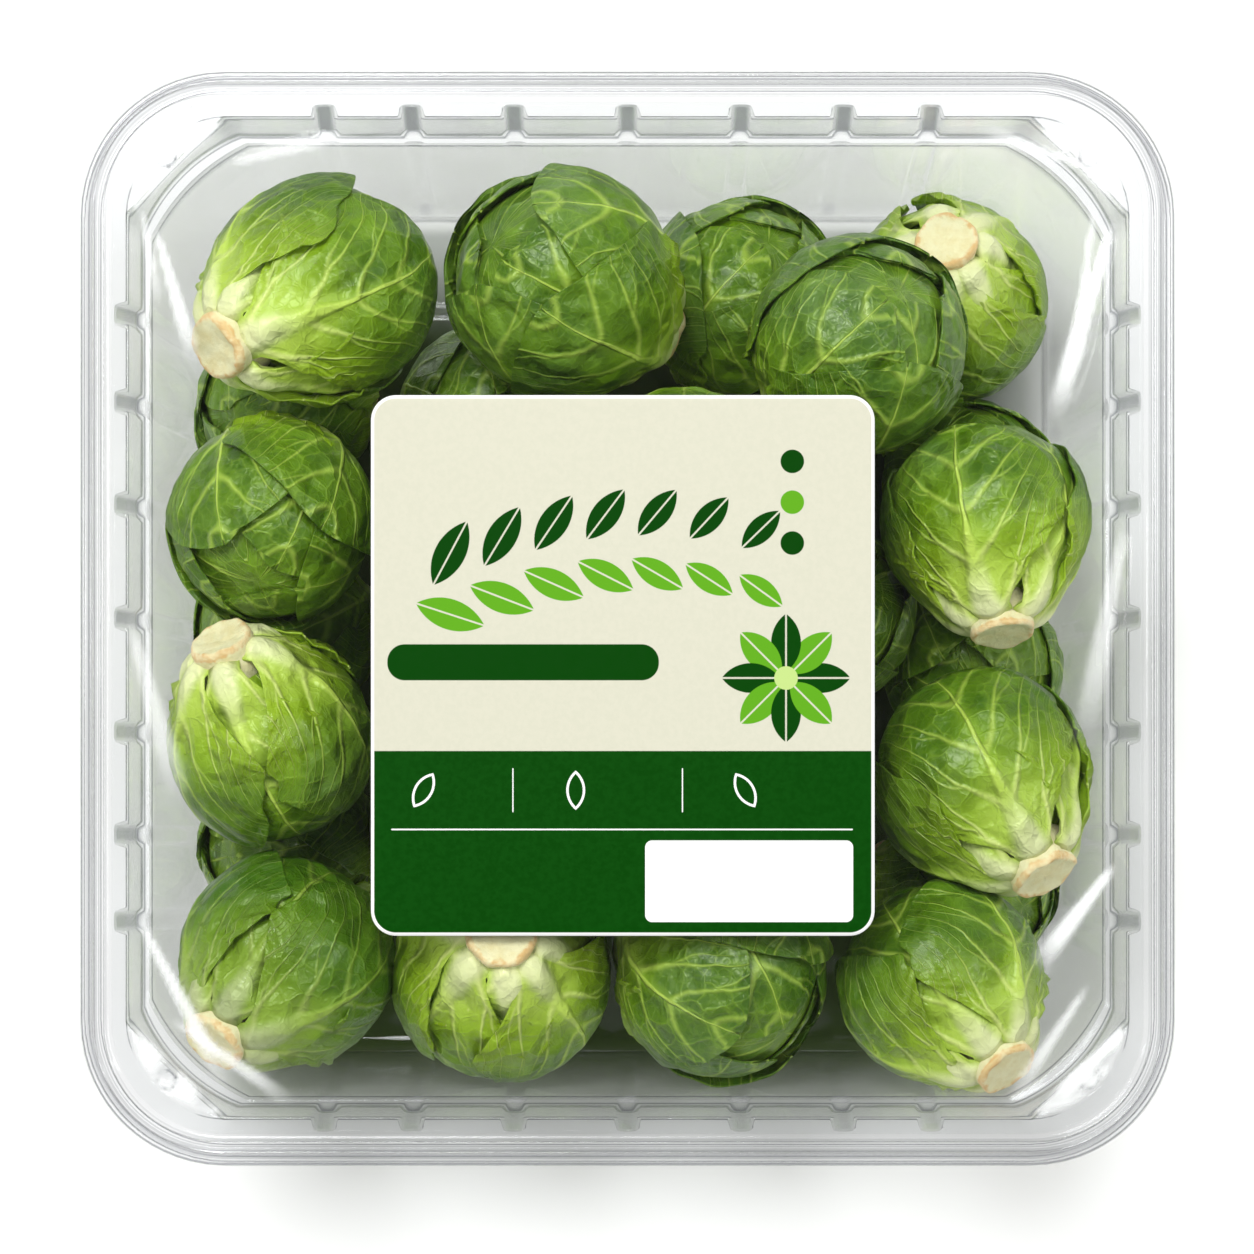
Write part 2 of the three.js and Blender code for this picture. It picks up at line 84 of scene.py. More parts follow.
# A sprout: its stem's direction, its radius in millimetres, its leaves' turn and its length by its width
Sprout = namedtuple("Sprout", "stem radius turn long")
SPROUTS = [Sprout(*row) for row in (
    ((-0.67, -0.45, 0.58), 14.6, 40, 1.07),
    ((0.7, -0.3, -0.65), 15.2, 200, 1.0),
    ((-0.3, -0.55, -0.78), 13.0, 80, 1.0),
    ((-0.05, 0.36, 0.93), 13.2, 10, 1.0),
    ((-0.4, -0.5, -0.77), 14.5, 300, 1.0),
    ((0.1, -0.93, 0.35), 13.4, 60, 1.0),
    ((-0.5, -0.3, -0.81), 12.4, 150, 1.0),
    ((-0.1, 0.5, -0.86), 11.8, 20, 1.0),
    ((0.45, -0.76, 0.47), 14.2, 110, 1.0),
    ((0.5, -0.68, 0.53), 13.3, 250, 1.0),
    ((-0.66, 0.6, -0.45), 14.0, 330, 1.0),
    ((0.02, 0.32, 0.95), 14.2, 75, 1.0),
    ((-0.5, -0.62, 0.6), 13.9, 170, 1.0),
    ((-0.35, 0.76, 0.54), 13.5, 220, 1.03),
    ((0.1, 0.7, -0.7), 13.6, 290, 1.0),
    ((0.5, 0.3, -0.81), 13.4, 130, 1.0),
    ((0.2, -0.5, -0.84), 13.2, 60, 1.0),
    ((0.1, 0.4, -0.91), 13.0, 15, 1.0),
    ((-0.3, 0.2, -0.93), 13.4, 240, 1.0),
    ((0.6, 0.2, -0.77), 11.9, 100, 1.0),
    ((0.6, 0.3, -0.74), 11.8, 200, 1.0),
    ((0.7, 0.1, -0.7), 11.9, 310, 1.0),
    ((-0.2, 0.2, -0.96), 12.3, 45, 1.0),
    ((0.3, -0.6, -0.74), 12.4, 160, 1.0),
    ((-0.3, -0.4, -0.87), 12.3, 270, 1.0),
    ((0.6, 0.0, -0.8), 12.3, 350, 1.0),
    ((0.2, 0.6, -0.77), 12.4, 90, 1.0),
    ((-0.7, 0.2, -0.69), 12.2, 255, 1.0),
    ((-0.5, -0.5, -0.7), 11.5, 35, 1.0),
    ((-0.6, 0.3, -0.74), 11.3, 185, 1.0),
)]
# The first sprouts can be seen from above and get finer meshes: points along each side of a leaf
SHOWN_SPROUTS = 19
SHOWN_POINTS = 56
HIDDEN_POINTS = 36
# Sprouts whose leaves are darker than the others', by number, and how far each goes
DARKER = {5: 0.25, 9: 0.4, 10: 0.35, 11: 0.15, 13: 1.0}


# Node materials

class Nodes:
    """A material's node tree, with short calls that return sockets."""

    def __init__(self, name):
        self.material = bpy.data.materials.new(name)
        self.material.use_nodes = True
        self.tree = self.material.node_tree
        self.tree.nodes.clear()
        self.output = self.tree.nodes.new("ShaderNodeOutputMaterial")

    def node(self, kind, inputs=None, **settings):
        made = self.tree.nodes.new(kind)
        for key, value in settings.items():
            setattr(made, key, value)
        for key, value in (inputs or {}).items():
            self.put(made.inputs[key], value)
        return made

    def put(self, socket, value):
        if isinstance(value, bpy.types.NodeSocket):
            self.tree.links.new(value, socket)
        else:
            socket.default_value = value

    def math(self, operation, *values):
        made = self.node("ShaderNodeMath", operation=operation)
        for socket, value in zip(made.inputs, values):
            self.put(socket, value)
        return made.outputs[0]

    def add(self, a, b):
        return self.math("ADD", a, b)

    def sub(self, a, b):
        return self.math("SUBTRACT", a, b)

    def mul(self, a, b):
        return self.math("MULTIPLY", a, b)

    def divide(self, a, b):
        return self.math("DIVIDE", a, b)

    def absolute(self, a):
        return self.math("ABSOLUTE", a)

    def larger(self, a, b):
        return self.math("MAXIMUM", a, b)

    def length(self, a, b):
        return self.math("SQRT", self.add(self.mul(a, a), self.mul(b, b)))

    def vector(self, operation, a, b):
        return self.node("ShaderNodeVectorMath", {0: a, 1: b}, operation=operation).outputs[0]

    def ramp(self, value, low, high, to_low=0.0, to_high=1.0):
        """value from low to high mapped smoothly to to_low to to_high, and held outside."""
        names = ("Value", "From Min", "From Max", "To Min", "To Max")
        inputs = dict(zip(names, (value, low, high, to_low, to_high)))
        return self.node("ShaderNodeMapRange", inputs, interpolation_type="SMOOTHSTEP").outputs["Result"]

    def mix(self, factor, a, b):
        made = self.node("ShaderNodeMix", data_type="RGBA")
        for key, value in (("Factor", factor), ("A", a), ("B", b)):
            self.put(made.inputs[key], value)
        return made.outputs["Result"]

    def noise(self, vector, scale, detail=3.0, roughness=0.5, output="Fac"):
        inputs = {"Vector": vector, "Scale": scale, "Detail": detail, "Roughness": roughness}
        return self.node("ShaderNodeTexNoise", inputs).outputs[output]

    def edge_distance(self, vector, scale):
        """How far a point is from the edge of its random cell."""
        inputs = {"Vector": vector, "Scale": scale}
        return self.node("ShaderNodeTexVoronoi", inputs, feature="DISTANCE_TO_EDGE").outputs["Distance"]

    def object_point(self):
        return self.node("ShaderNodeTexCoord").outputs["Object"]

    def axes(self, vector):
        made = self.node("ShaderNodeSeparateXYZ", {"Vector": vector})
        return made.outputs["X"], made.outputs["Y"], made.outputs["Z"]

    def attribute(self, name):
        return self.node("ShaderNodeAttribute", attribute_name=name).outputs["Fac"]

    def bump(self, height, strength, distance, normal=None):
        made = self.node("ShaderNodeBump", {"Height": height, "Strength": strength, "Distance": distance})
        if normal is not None:
            self.put(made.inputs["Normal"], normal)
        return made.outputs["Normal"]

    def fresnel(self, refraction, normal):
        return self.node("ShaderNodeFresnel", {"IOR": refraction, "Normal": normal}).outputs[0]

    def shader(self, kind, **inputs):
        """A shader node of this kind. Its inputs' names are given with _ for each space."""
        named = {key.replace("_", " "): value for key, value in inputs.items()}
        return self.node("ShaderNodeBsdf" + kind, named)

    def blend(self, factor, first, second):
        return self.node("ShaderNodeMixShader", {0: factor, 1: first.outputs[0], 2: second.outputs[0]})

    def surface(self, shader):
        self.tree.links.new(shader.outputs[0], self.output.inputs["Surface"])
        return self.material


def colour(red, green, blue):
    return (red, green, blue, 1.0)


# Leaf and stem, as linear colours
BLADE_DEEP = colour(0.055, 0.140, 0.0015)
BLADE_BRIGHT = colour(0.185, 0.345, 0.004)
BLADE_OUTER = colour(0.028, 0.090, 0.003)
BLADE_TIP = colour(0.030, 0.098, 0.002)
BLADE_YOUNG = colour(0.36, 0.53, 0.014)
BLADE_DARKER = colour(0.035, 0.125, 0.002)
NET_TONE = colour(0.33, 0.55, 0.03)
LOOP_TONE = colour(0.44, 0.66, 0.06)
GLOW_OLD = colour(0.33, 0.53, 0.035)
GLOW_YOUNG = colour(0.46, 0.62, 0.085)
VEIN_OLD = colour(0.46, 0.63, 0.09)
VEIN_YOUNG = colour(0.67, 0.76, 0.24)
STALK_GREEN = colour(0.5, 0.67, 0.1)
STALK_PALE = colour(0.76, 0.79, 0.43)
BLOOM = colour(0.33, 0.48, 0.2)
WAX_SHINE = colour(0.88, 1.0, 0.62)
PITH_PALE = colour(0.80, 0.76, 0.47)
PITH_DULL = colour(0.74, 0.66, 0.35)
RIND_PALE = colour(0.82, 0.66, 0.36)
RIND_BROWN = colour(0.68, 0.42, 0.16)

# Side veins: how many, and how they slope and curve away from the stalk. Each set has a shift of its place,
# where it starts across the blade and its width.
VEIN_SIDES = 4.3
VEIN_SLOPE = 0.3
VEIN_CURVE = 0.75
VEIN_SETS = ((0.0, 0.0, 0.1), (0.48, 0.22, 0.065), (-0.27, 0.45, 0.045))
VEIN_FORK = 0.34

# Cells of the blade per metre, and how far noise bends them
LOOP_SCALE = 250.0
NET_SCALE = 780.0
CELL_BEND = (0.0022, 0.0022, 0.0022)


def leaf_veins(n, side, along, slow, wobble):
    """Forking side veins, from 0 beside a vein to 1 on it."""
    bend = n.mul(n.mul(side, side), VEIN_CURVE)
    rank = n.sub(along, n.add(n.mul(side, VEIN_SLOPE), bend))
    rank = n.add(rank, n.add(n.mul(wobble, 0.05), n.mul(slow, 0.16)))
    rank = n.mul(rank, VEIN_SIDES)
    veins = None
    for shift, start, width in VEIN_SETS:
        fork = n.ramp(side, start, start + VEIN_FORK, 0.0, shift)
        phase = n.math("FRACT", n.add(rank, fork))
        to_vein = n.sub(0.5, n.absolute(n.sub(phase, 0.5)))
        spread = n.ramp(side, 0.0, 0.8, width * 1.5, width * 0.4)
        one = n.ramp(n.divide(to_vein, spread), 0.0, 1.0, 1.0, 0.0)
        if start:
            one = n.mul(one, n.ramp(side, start, start + 0.12, 0.0, 0.6))
        veins = one if veins is None else n.larger(veins, one)
    return veins


def leaf_cells(n, point, slow):
    """Loops of fine veins, the finer net inside them, and the puckers between the loops."""
    swirl = n.vector("MULTIPLY", n.noise(point, 330.0, 2.0, output="Color"), CELL_BEND)
    bent = n.vector("ADD", point, swirl)
    loops = n.ramp(n.edge_distance(bent, LOOP_SCALE), 0.0, 0.075, 1.0, 0.0)
    loops = n.mul(loops, n.ramp(slow, -0.12, 0.1, 0.15, 1.0))
    net = n.ramp(n.edge_distance(bent, NET_SCALE), 0.0, 0.14, 1.0, 0.0)
    inputs = {"Vector": bent, "Scale": LOOP_SCALE, "Smoothness": 0.7}
    pucker = n.node("ShaderNodeTexVoronoi", inputs, feature="SMOOTH_F1").outputs["Distance"]
    return loops, net, pucker


def leaf_material():
    """Waxy leaf: pale broad stalk, pale branching veins, and a puckered green blade with a darker tip."""
    n = Nodes("sprout_leaf")
    point = n.object_point()
    across, along, _ = n.axes(n.node("ShaderNodeUVMap", uv_map="leaf").outputs["UV"])
    layer = n.attribute("layer")
    slow = n.sub(n.noise(point, 70.0, 2.0), 0.5)
    wobble = n.sub(n.noise(point, 210.0, 2.0), 0.5)
    side = n.absolute(n.add(across, n.mul(wobble, 0.045)))
    rib_width = n.mul(n.ramp(along, 0.02, 0.5, 0.15, 0.026), n.ramp(along, 0.5, 0.95, 1.0, 0.3))
    from_rib = n.divide(side, rib_width)
    rib = n.ramp(from_rib, 0.35, 1.05, 1.0, 0.0)
    glow = n.ramp(from_rib, 0.6, 4.6, 1.0, 0.0)
    veins = leaf_veins(n, side, along, slow, wobble)
    loops, net, pucker = leaf_cells(n, point, slow)
    blotch = n.noise(point, 120.0, 4.0, 0.6)
    young = n.ramp(along, 0.05, 0.6, 1.0, 0.0)
    root = n.ramp(along, 0.04, 0.28, 1.0, 0.0)
    bloom = n.mul(n.ramp(n.noise(point, 55.0), 0.45, 0.75), n.ramp(along, 0.3, 0.8, 0.0, 0.14))
    tones = (
        (n.math("MINIMUM", n.mul(layer, 0.45), 0.45), BLADE_OUTER),
        (n.ramp(along, 0.45, 0.9, 0.0, 0.35), BLADE_TIP),
        (n.mul(young, 0.7), BLADE_YOUNG),
        (n.mul(net, 0.1), NET_TONE),
        (n.mul(loops, 0.16), LOOP_TONE),
        (n.mul(glow, n.ramp(along, 0.1, 0.75, 0.85, 0.25)), n.mix(young, GLOW_OLD, GLOW_YOUNG)),
        (n.mul(veins, n.ramp(along, 0.1, 1.0, 0.8, 0.5)), n.mix(young, VEIN_OLD, VEIN_YOUNG)),
        (n.mul(rib, n.ramp(along, 0.3, 1.0, 0.97, 0.7)), n.mix(root, STALK_GREEN, STALK_PALE)),
        (n.ramp(layer, 1.0, 2.0, 0.0, 0.55), BLADE_DARKER),
        (bloom, BLOOM),
    )
    base = n.mix(n.ramp(blotch, 0.32, 0.68), BLADE_DEEP, BLADE_BRIGHT)
    for share, tone in tones:
        base = n.mix(share, base, tone)
    height = n.add(n.mul(veins, 0.55), n.mul(rib, 0.9))
    height = n.add(height, n.add(n.mul(loops, 0.3), n.mul(net, 0.1)))
    normal = n.bump(pucker, 0.75, 0.0022)
    normal = n.bump(height, 0.7, 0.0004, normal)
    normal = n.bump(n.noise(point, 1100.0), 0.22, 0.00006, normal)
    return n.surface(n.shader(
        "Principled", Base_Color=base, Roughness=n.ramp(blotch, 0.25, 0.75, 0.27, 0.42), Normal=normal,
        IOR=1.45, Specular_IOR_Level=0.55, Specular_Tint=WAX_SHINE, Coat_Weight=0.16, Coat_Roughness=0.14,
    ))


def cut_material():
    """The stem's cut end: pale, patchy pith inside a browned rind."""
    n = Nodes("stem_cut")
    point = n.object_point()
    ray = n.noise(point, 1500.0, 3.0, 0.6)
    spots = n.noise(point, 480.0, 5.0, 0.65)
    pith = n.mix(n.ramp(spots, 0.35, 0.7), PITH_PALE, PITH_DULL)
    rind = n.mix(n.ramp(spots, 0.4, 0.62), RIND_PALE, RIND_BROWN)
    out = n.add(n.attribute("rim"), n.mul(n.sub(spots, 0.5), 0.6))
    edge = n.mul(n.ramp(out, 0.8, 0.97, 0.0, 0.9), n.ramp(out, 1.0, 1.15, 1.0, 0.4))
    return n.surface(n.shader(
        "Principled", Base_Color=n.mix(edge, pith, rind), Roughness=n.ramp(spots, 0.3, 0.7, 0.55, 0.8),
        Normal=n.bump(n.add(n.mul(ray, 0.5), spots), 0.6, 0.0005),
    ))


# Sprouts. In its own frame a sprout's stem points along -Z and its head's centre is the origin. Shares are of
# the sprout's radius, and angles are degrees from the stem.

LEAVES = 7
CORE_SHARE = 0.835
TOP_SHARE = 0.985
NECK_SHARE = 0.965
NECK_START = 46
NECK_END = 18
NECK_RISE = 0.13
CROWN_DROP = 0.05
CROWN_SPREAD = 60
LEAF_TURN = 137.5
LEAF_START = 13
LEAF_REACH = 174
REACH_DROP = 44
LEAF_HALF = 62
LEAF_EDGE = 0.02
PUCKER_RISE = 0.018
EAR_RISE = 0.03
RIB_RISE = 0.06
EDGE_THICKNESS = 0.02
BLADE_THICKNESS = 0.08
CORE_DEPTH = 0.012
CORE_LAYER = 0.1

# The stem's stub from its cut end's middle, over its rim and side, to its inner end: radius and distance
STEM_RINGS = (
    (0.0, 1.185), (0.08, 1.186), (0.14, 1.187), (0.2, 1.19), (0.235, 1.2), (0.262, 1.207), (0.283, 1.2),
    (0.297, 1.17), (0.292, 1.12), (0.29, 1.06), (0.3, 1.0), (0.33, 0.9), (0.3, 0.7), (0.0, 0.7),
)
STEM_AROUND = 48
STEM_RADIUS = 0.29
CUT_START = 1.15

# How much larger than their solids the sprouts of each layer are, and where the low layer ends
FULLNESS = 1.045
LOW_FULLNESS = 1.08
LOW_LAYER_Z = 24
# How far a packed sprout's centroid is from its head's centre along its stem, by its radius
CENTROID_SHIFT = 0.052


def smooth(x, low, high):
    t = np.clip((x - low) / (high - low), 0, 1)
    return t * t * (3 - 2 * t)


def stacked(x, y, z):
    """Points from coordinates that are spread over the same grid."""
    return np.stack(np.broadcast_arrays(x, y, z), -1)


def vary(index, use):
    """A number from 0 to 1 that differs from sprout to sprout and use to use."""
    x = index * 0.618034 + use * 0.754878
    return x - math.floor(x)


def spread(index, use, width):
    return width * (vary(index, use) - 0.5)


def phase(index, use):
    return 6.3 * vary(index, use)


def waves(points, seed, size):
    """Soft bumps from -1 to 1 over points in space, size across, the same on each run."""
    rng = np.random.default_rng(seed)
    total = np.zeros(points.shape[:-1])
    for _ in range(7):
        way = rng.normal(size=3)
        way = way / np.linalg.norm(way) * rng.uniform(0.6, 1.5) * 2 * math.pi / size
        total += np.sin(points @ way + rng.uniform(0, 2 * math.pi))
    return total / 3.2


def head_profile(from_stem):
    neck = 1 - smooth(from_stem, NECK_END, NECK_START)
    crown = 1 - smooth(180 - from_stem, 0, CROWN_SPREAD)
    return 1 + NECK_RISE * neck - CROWN_DROP * crown


def leaf_width(v):
    """Half the leaf's width by its length so far: a thin stalk that opens into a round blade."""
    opening = 0.15 + 0.85 * smooth(v, 0.04, 0.36) ** 0.75
    closing = np.sqrt(np.clip(1 - (np.clip(v - 0.5, 0, 1) / 0.5) ** 2.6, 0, 1))
    return opening * np.maximum(closing, 0.02)


def vein_hollows(u, v):
    """Swelling of the blade between its side veins, from 0 on a vein to 1 between two."""
    side = np.abs(u)
    rank = (v - side * VEIN_SLOPE - side * side * VEIN_CURVE) * VEIN_SIDES
    return np.sqrt(np.abs(np.sin(np.pi * rank))) * smooth(side, 0.02, 0.3)


def leaf_grid(count):
    """A leaf's places: across from -1 to 1 and along from 0 to 1, closer together at its edges and tip."""
    u, t = np.meshgrid(np.linspace(-1, 1, count), np.linspace(0, 1, count))
    return np.sin(u * 1.2) / math.sin(1.2), np.sin(t * math.pi / 2) ** 0.92


def leaf_ways(index, k, u, v):
    """Directions from the head's centre to leaf k's places, before its turn. Outer leaves are shorter."""
    reach = LEAF_REACH - REACH_DROP * (k + 1) / LEAVES + spread(index, k, 14)
    half = math.radians(LEAF_HALF + spread(index, k + 10, 12))
    lobe = np.sin(v * 9 + phase(index, k + 20)) + 0.5 * np.sin(v * 21 + phase(index, k + 25) + u)
    ripple = 1 + 0.02 * np.sin(u * 5 + index * 100 + k)
    along = np.radians(LEAF_START + (reach - LEAF_START) * v * ripple)
    across = half * u * leaf_width(v) * (1 + 0.04 * lobe * smooth(np.abs(u), 0.4, 1))
    across += 0.07 * np.sin(2.6 * v + phase(index, k + 45)) * smooth(v, 0.1, 0.7)
    return stacked(np.cos(across) * np.sin(along), np.sin(across), -np.cos(across) * np.cos(along))


def leaf_levels(index, k, u, v, way, ball):
    """How far leaf k's outer face stands from the head's centre, and its thickness, as shares."""
    share = (k + 1) / LEAVES
    seed = index * 100 + k
    edge = np.maximum(smooth(np.abs(u), 0.72, 1), smooth(v, 0.86, 1))
    level = CORE_SHARE + (TOP_SHARE - CORE_SHARE) * share
    out = NECK_SHARE + (level - NECK_SHARE) * ball
    out += 0.01 * waves(way, index, 0.9) * ball
    out += 0.006 * waves(way, seed, 0.28) * ball
    out += PUCKER_RISE * (vein_hollows(u, v) - 0.5) * ball * (1 - edge)
    curl = 0.55 + 0.45 * waves(way, seed + 50, 0.6)
    out += LEAF_EDGE * edge * ball * curl * (0.6 + 0.6 * share)
    ear = smooth(np.abs(u), 0.45, 0.9) * smooth(v, 0.06, 0.14) * (1 - smooth(v, 0.26, 0.42))
    out += EAR_RISE * ear * (1 + np.sin(v * 74 + phase(index, k + 60) + 3 * u))
    rib_width = 0.125 - 0.07 * smooth(v, 0.05, 0.5)
    out += RIB_RISE * np.exp(-(u * leaf_width(v) / rib_width) ** 2) * (1 - smooth(v, 0.1, 0.85))
    return out, BLADE_THICKNESS + (EDGE_THICKNESS - BLADE_THICKNESS) * edge


def leaf_faces(sprout, index, k, u, v):
    """Points of leaf k's outer and inner face."""
    way = leaf_ways(index, k, u, v)
    from_stem = np.degrees(np.arccos(np.clip(-way[..., 2], -1, 1)))
    out, thickness = leaf_levels(index, k, u, v, way, smooth(from_stem, NECK_END, NECK_START))
    scale = head_profile(from_stem) * sprout.radius
    turn = math.radians(k * LEAF_TURN + spread(index, k + 30, 20))
    c, s = math.cos(turn), math.sin(turn)
    spin = np.array([[c, -s, 0], [s, c, 0], [0, 0, 1]])
    stretch = np.array([1, 1, sprout.long])
    return [(way * (level * scale)[..., None] * stretch) @ spin.T for level in (out, out - thickness)]


def sprout_matrix(sprout, centre):
    full = MM * (FULLNESS if centre.z > LOW_LAYER_Z * MM else LOW_FULLNESS)
    swing = Vector((0, 0, -1)).rotation_difference(Vector(sprout.stem).normalized())
    spin = Quaternion((0, 0, 1), math.radians(sprout.turn))
    return Matrix.Translation(centre) @ (swing @ spin).to_matrix().to_4x4() @ Matrix.Scale(full, 4)


def grid_faces(rows, columns, start=0):
    """Quads of a rows by columns grid of points that begins at start."""
    j, i = np.meshgrid(np.arange(rows - 1), np.arange(columns - 1), indexing="ij")
    a = start + j * columns + i
    return np.stack([a, a + 1, a + columns + 1, a + columns], -1).reshape(-1, 4)


def ring_faces(rings, around):
    """Quads between rings of points that are each closed on themselves."""
    row = np.arange(rings - 1)[:, None] * around
    i = np.arange(around)[None, :]
    after = (i + 1) % around
    return np.stack([row + i, row + after, row + after + around, row + i + around], -1).reshape(-1, 4)


def border(rows, columns):
    """The grid's border points in order round it."""
    top = list(range(columns))
    right = [j * columns + columns - 1 for j in range(1, rows)]
    bottom = [(rows - 1) * columns + i for i in range(columns - 2, -1, -1)]
    left = [j * columns for j in range(rows - 2, 0, -1)]
    return top + right + bottom + left


def shell_faces(rows, columns):
    """Quads of a closed shell: a grid's outer face, the same grid's inner face, and the strip round them."""
    size = rows * columns
    loop = np.array(border(rows, columns))
    after = np.roll(loop, -1)
    strip = np.stack([loop, loop + size, after + size, after], -1)
    return np.concatenate([grid_faces(rows, columns), grid_faces(rows, columns, size)[:, ::-1], strip])


class MeshParts:
    """Gathers sets of quads into one mesh, with a UV map and a named value for each point."""

    def __init__(self):
        self.points, self.faces, self.uvs, self.values, self.count = [], [], [], [], 0

    def add(self, points, faces, uv, value):
        points = np.asarray(points, float).reshape(-1, 3)
        self.points.append(points)
        self.faces.append(faces + self.count)
        self.uvs.append(np.asarray(uv, float).reshape(-1, 2))
        self.values.append(np.broadcast_to(np.asarray(value, float), len(points)))
        self.count += len(points)

    def build(self, name, material, matrix, value_name):
        world = np.array(matrix)
        points = np.concatenate(self.points) @ world[:3, :3].T + world[:3, 3]
        faces = np.concatenate(self.faces)
        mesh = bpy.data.meshes.new(name)
        mesh.vertices.add(len(points))
        mesh.vertices.foreach_set("co", points.astype(np.float32).ravel())
        mesh.loops.add(faces.size)
        mesh.loops.foreach_set("vertex_index", faces.astype(np.int32).ravel())
        mesh.polygons.add(len(faces))
        mesh.polygons.foreach_set("loop_start", np.arange(0, faces.size, 4, dtype=np.int32))
        mesh.polygons.foreach_set("loop_total", np.full(len(faces), 4, np.int32))
        mesh.polygons.foreach_set("use_smooth", np.ones(len(faces), bool))
        uv = mesh.uv_layers.new(name="leaf")
        uv.data.foreach_set("uv", np.concatenate(self.uvs)[faces.ravel()].astype(np.float32).ravel())
        field = mesh.attributes.new(value_name, "FLOAT", "POINT")
        field.data.foreach_set("value", np.concatenate(self.values).astype(np.float32))
        mesh.update(calc_edges=True)
        mesh.validate()
        mesh.materials.append(material)
        piece = bpy.data.objects.new(name, mesh)
        bpy.context.scene.collection.objects.link(piece)
        return piece


def add_leaf(parts, sprout, index, k, count):
    u, v = leaf_grid(count)
    points = np.stack(leaf_faces(sprout, index, k, u, v))
    uv = np.stack([u * leaf_width(v), v], -1)
    layer = 0.15 + 0.85 * (k / (LEAVES - 1)) * (0.55 + 0.9 * (vary(index, k + 40) - 0.3))
    if index + 1 in DARKER:
        layer = 1 + DARKER[index + 1] * (0.6 + 0.4 * layer)
    parts.add(points, shell_faces(count, count), np.stack([uv, uv]), layer)


def add_core(parts, sprout, index, count):
    """The closed young head under the leaves."""
    rows, columns = np.linspace(0, 180, count), np.linspace(0, 2 * math.pi, count)
    angle, around = np.meshgrid(rows, columns, indexing="ij")
    a = np.radians(angle)
    way = stacked(np.sin(a) * np.cos(around), np.sin(a) * np.sin(around), -np.cos(a))
    level = CORE_SHARE - CORE_DEPTH + 0.008 * waves(way, index, 0.9)
    points = way * (level * head_profile(angle) * sprout.radius)[..., None]
    points[..., 2] *= sprout.long
    uv = np.stack([0.8 * np.sin(around * 1.5), 0.35 + 0.4 * angle / 180], -1)
    parts.add(points, grid_faces(count, count), uv, CORE_LAYER)


def stem_piece(name, sprout, index, matrix, material):
    """The stem's stub with its cut end. Its value is 0 at the cut's middle and 1 at the cut's rim."""
    a = np.linspace(0, 2 * math.pi, STEM_AROUND, endpoint=False)
    c, s = np.cos(a), np.sin(a)
    r, z = np.array(STEM_RINGS).T[:, :, None]
    side_spot = stacked(c, s, 3 * z)
    rough = 1 + 0.05 * waves(side_spot, index + 7, 1.1) + 0.02 * waves(side_spot, index + 9, 0.35)
    lift = 0.012 * waves(stacked(3 * r * c, 3 * r * s, 0.0), index + 3, 0.7)
    length = (z + lift * smooth(z, 1.05, CUT_START)) * sprout.radius * sprout.long
    out = r * rough * sprout.radius
    points = stacked(out * c, out * s, -length)
    value = np.where(z > CUT_START, r / STEM_RADIUS, 0.72 - 0.5 * (CUT_START - z))
    parts = MeshParts()
    uv = np.zeros(points.shape[:-1] + (2,))
    value = np.broadcast_to(value, points.shape[:-1]).ravel()
    parts.add(points, ring_faces(len(STEM_RINGS), STEM_AROUND), uv, value)
    return parts.build(name, material, matrix, "rim")


def centre_of(node, sprout):
    """The middle of a packed sprout's head, from the place of its solid's centroid along its stem."""
    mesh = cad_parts[node].data
    points = np.array([v.co for v in mesh.vertices])
    mesh.calc_loop_triangles()
    corners = points[np.array([t.vertices for t in mesh.loop_triangles])]
    volumes = np.einsum("ij,ij->i", corners[:, 0], np.cross(corners[:, 1], corners[:, 2])) / 6
    centroid = (corners.sum(1) / 4 * volumes[:, None]).sum(0) / volumes.sum()
    return Vector(centroid) - Vector(sprout.stem).normalized() * (CENTROID_SHIFT * sprout.radius * MM)


def make_sprouts():
    leaf, cut = leaf_material(), cut_material()
    for index, sprout in enumerate(SPROUTS):
        name = f"sprout_{index + 1:02d}"
        matrix = sprout_matrix(sprout, centre_of(name, sprout))
        count = SHOWN_POINTS if index < SHOWN_SPROUTS else HIDDEN_POINTS
        parts = MeshParts()
        add_core(parts, sprout, index, count)
        for k in range(LEAVES):
            add_leaf(parts, sprout, index, k, count)
        head = parts.build(name + "_leaves", leaf, matrix, "layer")
        stub = stem_piece(name + "_stem", sprout, index, matrix, cut)
        for piece in (head, stub):
            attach(piece, "root")
        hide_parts(name)


# Tray. Its shell follows one path from the floor's middle up the wall and over the rim, and back underneath.

FLUTE_DOME = 1.6
WALL_WAVE = 0.12

# Beads of the rim beyond the sealing band: half width and height over the band
RIM_BEADS = (
    (BAND_HALF, 0), (66.75, 0.5), (67.35, 0.5), (67.6, 0.12),
    (68.0, 0.88), (68.65, 0.88), (69.0, 0.2), (69.5, 0.2),
)

